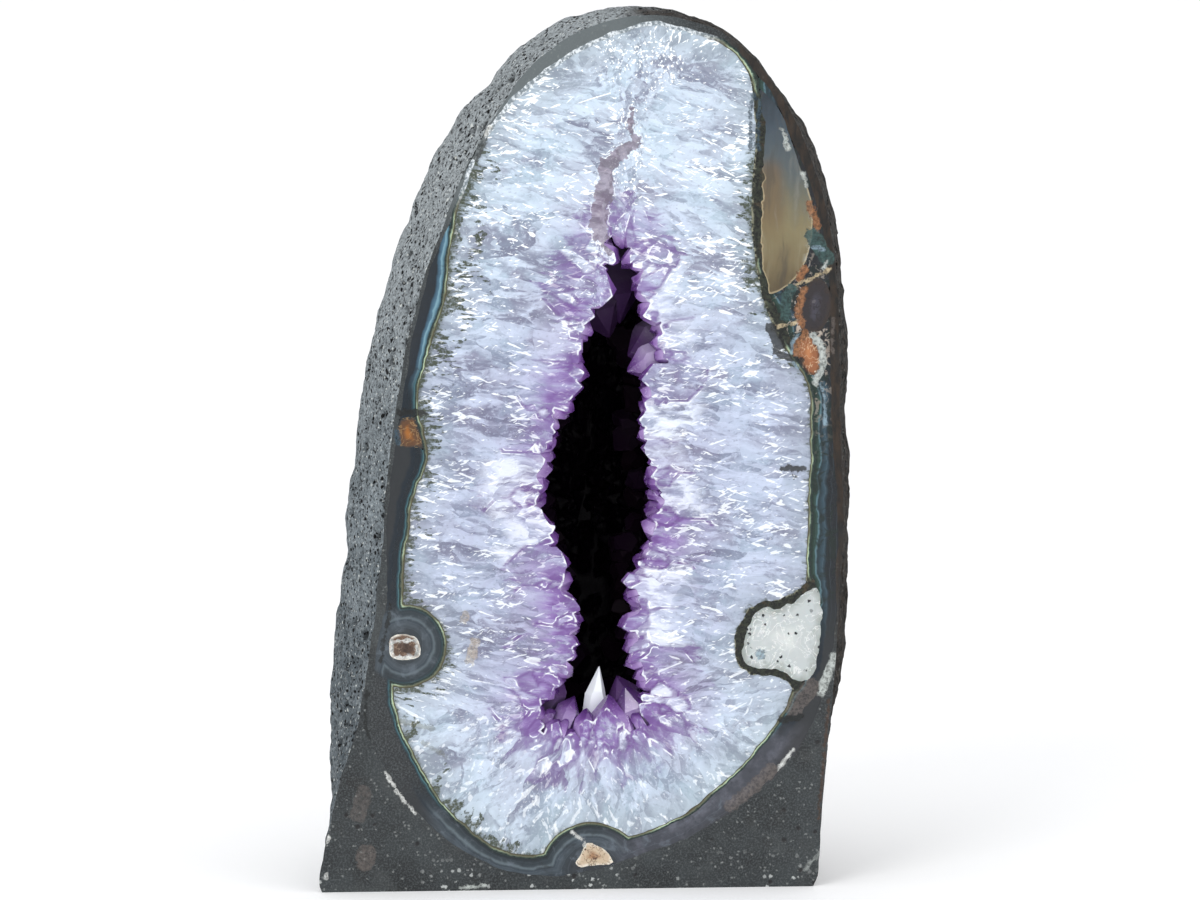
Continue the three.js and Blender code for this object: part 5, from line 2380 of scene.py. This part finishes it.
    def _bed(self, opening: Array, gems: dict[str, Array]) -> bpy.types.Object:
        """Cut the polished quartz out of the face.

        Args:
            opening: distance to the open mouth.
            gems: fields of the grid that tell the crystals at the mouth apart.

        Returns:
            The piece.
        """
        chart, face = self.chart, self.chart.face
        points, faces = face.cut_out(np.maximum(chart.quartz, -opening))
        verts, faces = slab(face, points, faces, 0.7, False)
        values = chart.along_crystals(points) | chart.marks(points)
        values["mouth"] = face.read(opening, points) * MM
        values |= {key: face.read(value, points) for key, value in gems.items()}
        violet = (0.42 + 0.4 * smooth(chart.z, 190, 80)) * (1 - 0.75 * smooth(chart.z, 61, 48))
        for x, z, size, change in self.patches:
            violet = violet + change * np.exp(-((chart.x - x) ** 2 + (chart.z - z) ** 2) / size**2)
        values["violet"] = face.read(np.clip(violet, 0, 1), points)
        both = {key: np.concatenate([value, value]) for key, value in values.items()}
        bed = make_object("quartz_bed", verts, faces, both)
        settle(bed, MilkyQuartz().make(), (Mineral.QUARTZ,))
        return bed

    def _wall(self) -> bpy.types.Object:
        """Make the crust of small crystals on the wall of the hollow.

        Returns:
            The piece.
        """
        angles = np.linspace(0, math.pi / 2 - 0.01, 92)
        loop = evenly(self.chart.mouth_rim, 360)
        wall = HOLLOW.wall(loop, np.sin(angles) ** (2 / ROUNDNESS))
        flat = wall.reshape(-1, 3)
        along = np.gradient(wall, axis=0)
        around = np.roll(wall, -1, axis=1) - np.roll(wall, 1, axis=1)
        inward = np.cross(along, around).reshape(-1, 3)
        inward /= np.maximum(np.linalg.norm(inward, axis=1, keepdims=True), 1e-9)
        rough = NoiseField(40)
        cell = np.floor(flat / 5.0)
        height = np.zeros(len(flat))
        for step in np.ndindex(3, 3, 3):
            c = cell + np.array(step) - 1
            spot = (c + np.stack([rough.lattice(c, k) for k in (1, 2, 3)], axis=1)) * 5.0
            size = 2.5 + 3.0 * rough.lattice(c, 4)
            away = np.abs(flat - spot)
            height = np.maximum(height, size - away.max(axis=1) - 0.4 * away.sum(axis=1))
        lift = np.clip(height, 0, 4) * smooth(flat[:, 1], 0, 2)
        place = flat + inward * lift[:, None]
        faces = [list(reversed(f)) for f in grid_faces(len(wall), wall.shape[1])]
        last = (len(wall) - 1) * wall.shape[1]
        faces.append([last + k for k in range(wall.shape[1])])
        face = self.chart.face
        verts = place * MM + np.array([face.shift * MM, face.y, 0])
        made = make_object("hollow_wall", verts, faces, {"deep": np.maximum(flat[:, 1], 0) * MM})
        settle(made, DarkDruse().make(), (Mineral.QUARTZ,))
        return made

    def _points(
        self, name: str, finish: AmethystPoint, solids: list[tuple[Gem, list[Array]]]
    ) -> bpy.types.Object:
        """Join points into one mesh.

        Args:
            name: the piece's name.
            finish: its finish.
            solids: each point with its faces.

        Returns:
            The piece.
        """
        verts: list[Array] = []
        faces: list[list[int]] = []
        values: dict[str, list] = {"along": [], "shade": [], "growth": []}
        for gem, solid in solids:
            number: dict[tuple, int] = {}
            for polygon in solid:
                ring = []
                for corner in polygon:
                    key = tuple(np.round(corner, 4))
                    if key not in number:
                        number[key] = len(verts)
                        off = corner - gem.foot
                        verts.append(corner)
                        values["along"].append(float(np.clip((off @ gem.axis) / gem.reach, 0, 1)))
                        values["shade"].append(gem.shade)
                        values["growth"].append(np.array([off @ gem.axis, off @ gem.u, off @ gem.v]) * MM)
                    if number[key] not in ring:
                        ring.append(number[key])
                if len(ring) > 2:
                    faces.append(ring)
        face = self.chart.face
        place = np.array(verts) * MM + np.array([face.shift * MM, face.y, 0])
        made = make_object(name, place, faces, {key: np.array(value) for key, value in values.items()})
        settle(made, finish.make(), (Mineral.QUARTZ,))
        return made


# ---------------------------------------------------------------------------------------- studio


@dataclass(frozen=True)
class Studio:
    """A pale floor, soft lights and the camera.

    Attributes:
        azimuth: where the camera stands, in degrees from straight in front, right positive.
        elevation: how high it stands, in degrees.
        distance: how far it stands from the aim, in metres.
        aim: the point it looks at.
        lens: focal length in millimetres on a 36 mm wide sensor.
    """

    azimuth: float = -4.0
    elevation: float = 4.0
    distance: float = 1.40
    aim: tuple[float, float, float] = (0.0033, -0.065, 0.1592)
    lens: float = 117.0

    def camera(self) -> None:
        """Make the camera."""
        a, e = math.radians(self.azimuth), math.radians(self.elevation)
        back = Vector((math.sin(a) * math.cos(e), -math.cos(a) * math.cos(e), math.sin(e)))
        data = bpy.data.cameras.new("camera")
        data.lens = self.lens
        made = bpy.data.objects.new("camera", data)
        made.location = Vector(self.aim) + back * self.distance
        made.rotation_euler = (-back).to_track_quat("-Z", "Y").to_euler()
        bpy.context.scene.collection.objects.link(made)
        bpy.context.scene.camera = made

    def lamp(self, name: str, place: tuple, size: float, power: float) -> None:
        """Make a soft square light that shines on the middle of the stone.

        Args:
            name: its name.
            place: where it stands, in metres.
            size: length of its side.
            power: its power in watts.
        """
        data = bpy.data.lights.new(name, "AREA")
        data.shape = "SQUARE"
        data.size = size
        data.energy = power
        made = bpy.data.objects.new(name, data)
        made.location = place
        made.rotation_euler = (Vector((0, 0, 0.15)) - Vector(place)).to_track_quat("-Z", "Y").to_euler()
        bpy.context.scene.collection.objects.link(made)

    def floor(self) -> None:
        """Make the floor, which curves up into a backdrop."""
        g = Graph(
            "floor_paper",
            roughness=0.7,
            specular_ior_level=0.2,
            emission_strength=0.07,
            emission_color=tone(255, 255, 255),
        )
        g.set(Base_Color=g.blend(g.noise(g.here(), 0.4, 3), tone(246, 246, 246), tone(251, 251, 251)))
        bend = [(1.6 + 1.6 * math.sin(a), 1.6 - 1.6 * math.cos(a)) for a in np.linspace(0, math.pi / 2, 24)]
        line = [(-4.0, 0.0), (0.0, 0.0), *bend, (3.2, 5.0)]
        corners = np.array([[side, y, z] for y, z in line for side in (-6.0, 6.0)])
        floor = make_object(
            "floor", corners, [[2 * k, 2 * k + 1, 2 * k + 3, 2 * k + 2] for k in range(len(line) - 1)]
        )
        floor.data.materials.append(g.material)
        shade(floor, True)
        floor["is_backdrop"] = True

    def build(self) -> None:
        """Set up everything."""
        world = bpy.data.worlds.new("white_room")
        world.use_nodes = True
        world.node_tree.nodes["Background"].inputs["Color"].default_value = tone(250, 251, 253)
        world.node_tree.nodes["Background"].inputs["Strength"].default_value = 1.0
        bpy.context.scene.world = world
        bpy.context.scene.view_settings.view_transform = "Standard"
        self.lamp("window", (-0.9, -1.3, 1.1), 0.7, 9)
        self.lamp("fill", (1.1, -1.1, 0.5), 0.8, 3)
        self.floor()
        self.camera()


# ------------------------------------------------------------------------------------------ main


def main() -> None:
    """Build the geode piece by piece and report each one."""
    logging.basicConfig(level=logging.INFO, format="%(name)s: %(message)s")
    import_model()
    solid_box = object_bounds()
    Studio().build()
    face = Face(y=solid_box[0].y, shift=-MIDDLE)
    chart = FaceMap(face)
    LOG.info("face %s x %s points", *face.shape)
    boulder = Boulder(chart, solid_box)
    pieces = [*boulder.hide(), boulder.polished_ring()]
    polished = PolishedPieces(chart)
    pieces += [polished.rind(), polished.skin(), polished.lens(), *polished.small()]
    pieces += Quartz(chart).build()
    for piece in pieces:
        piece.data.calc_loop_triangles()
        LOG.info("%s: %d triangles", piece.name, len(piece.data.loop_triangles))


if __name__ == "__main__":
    main()
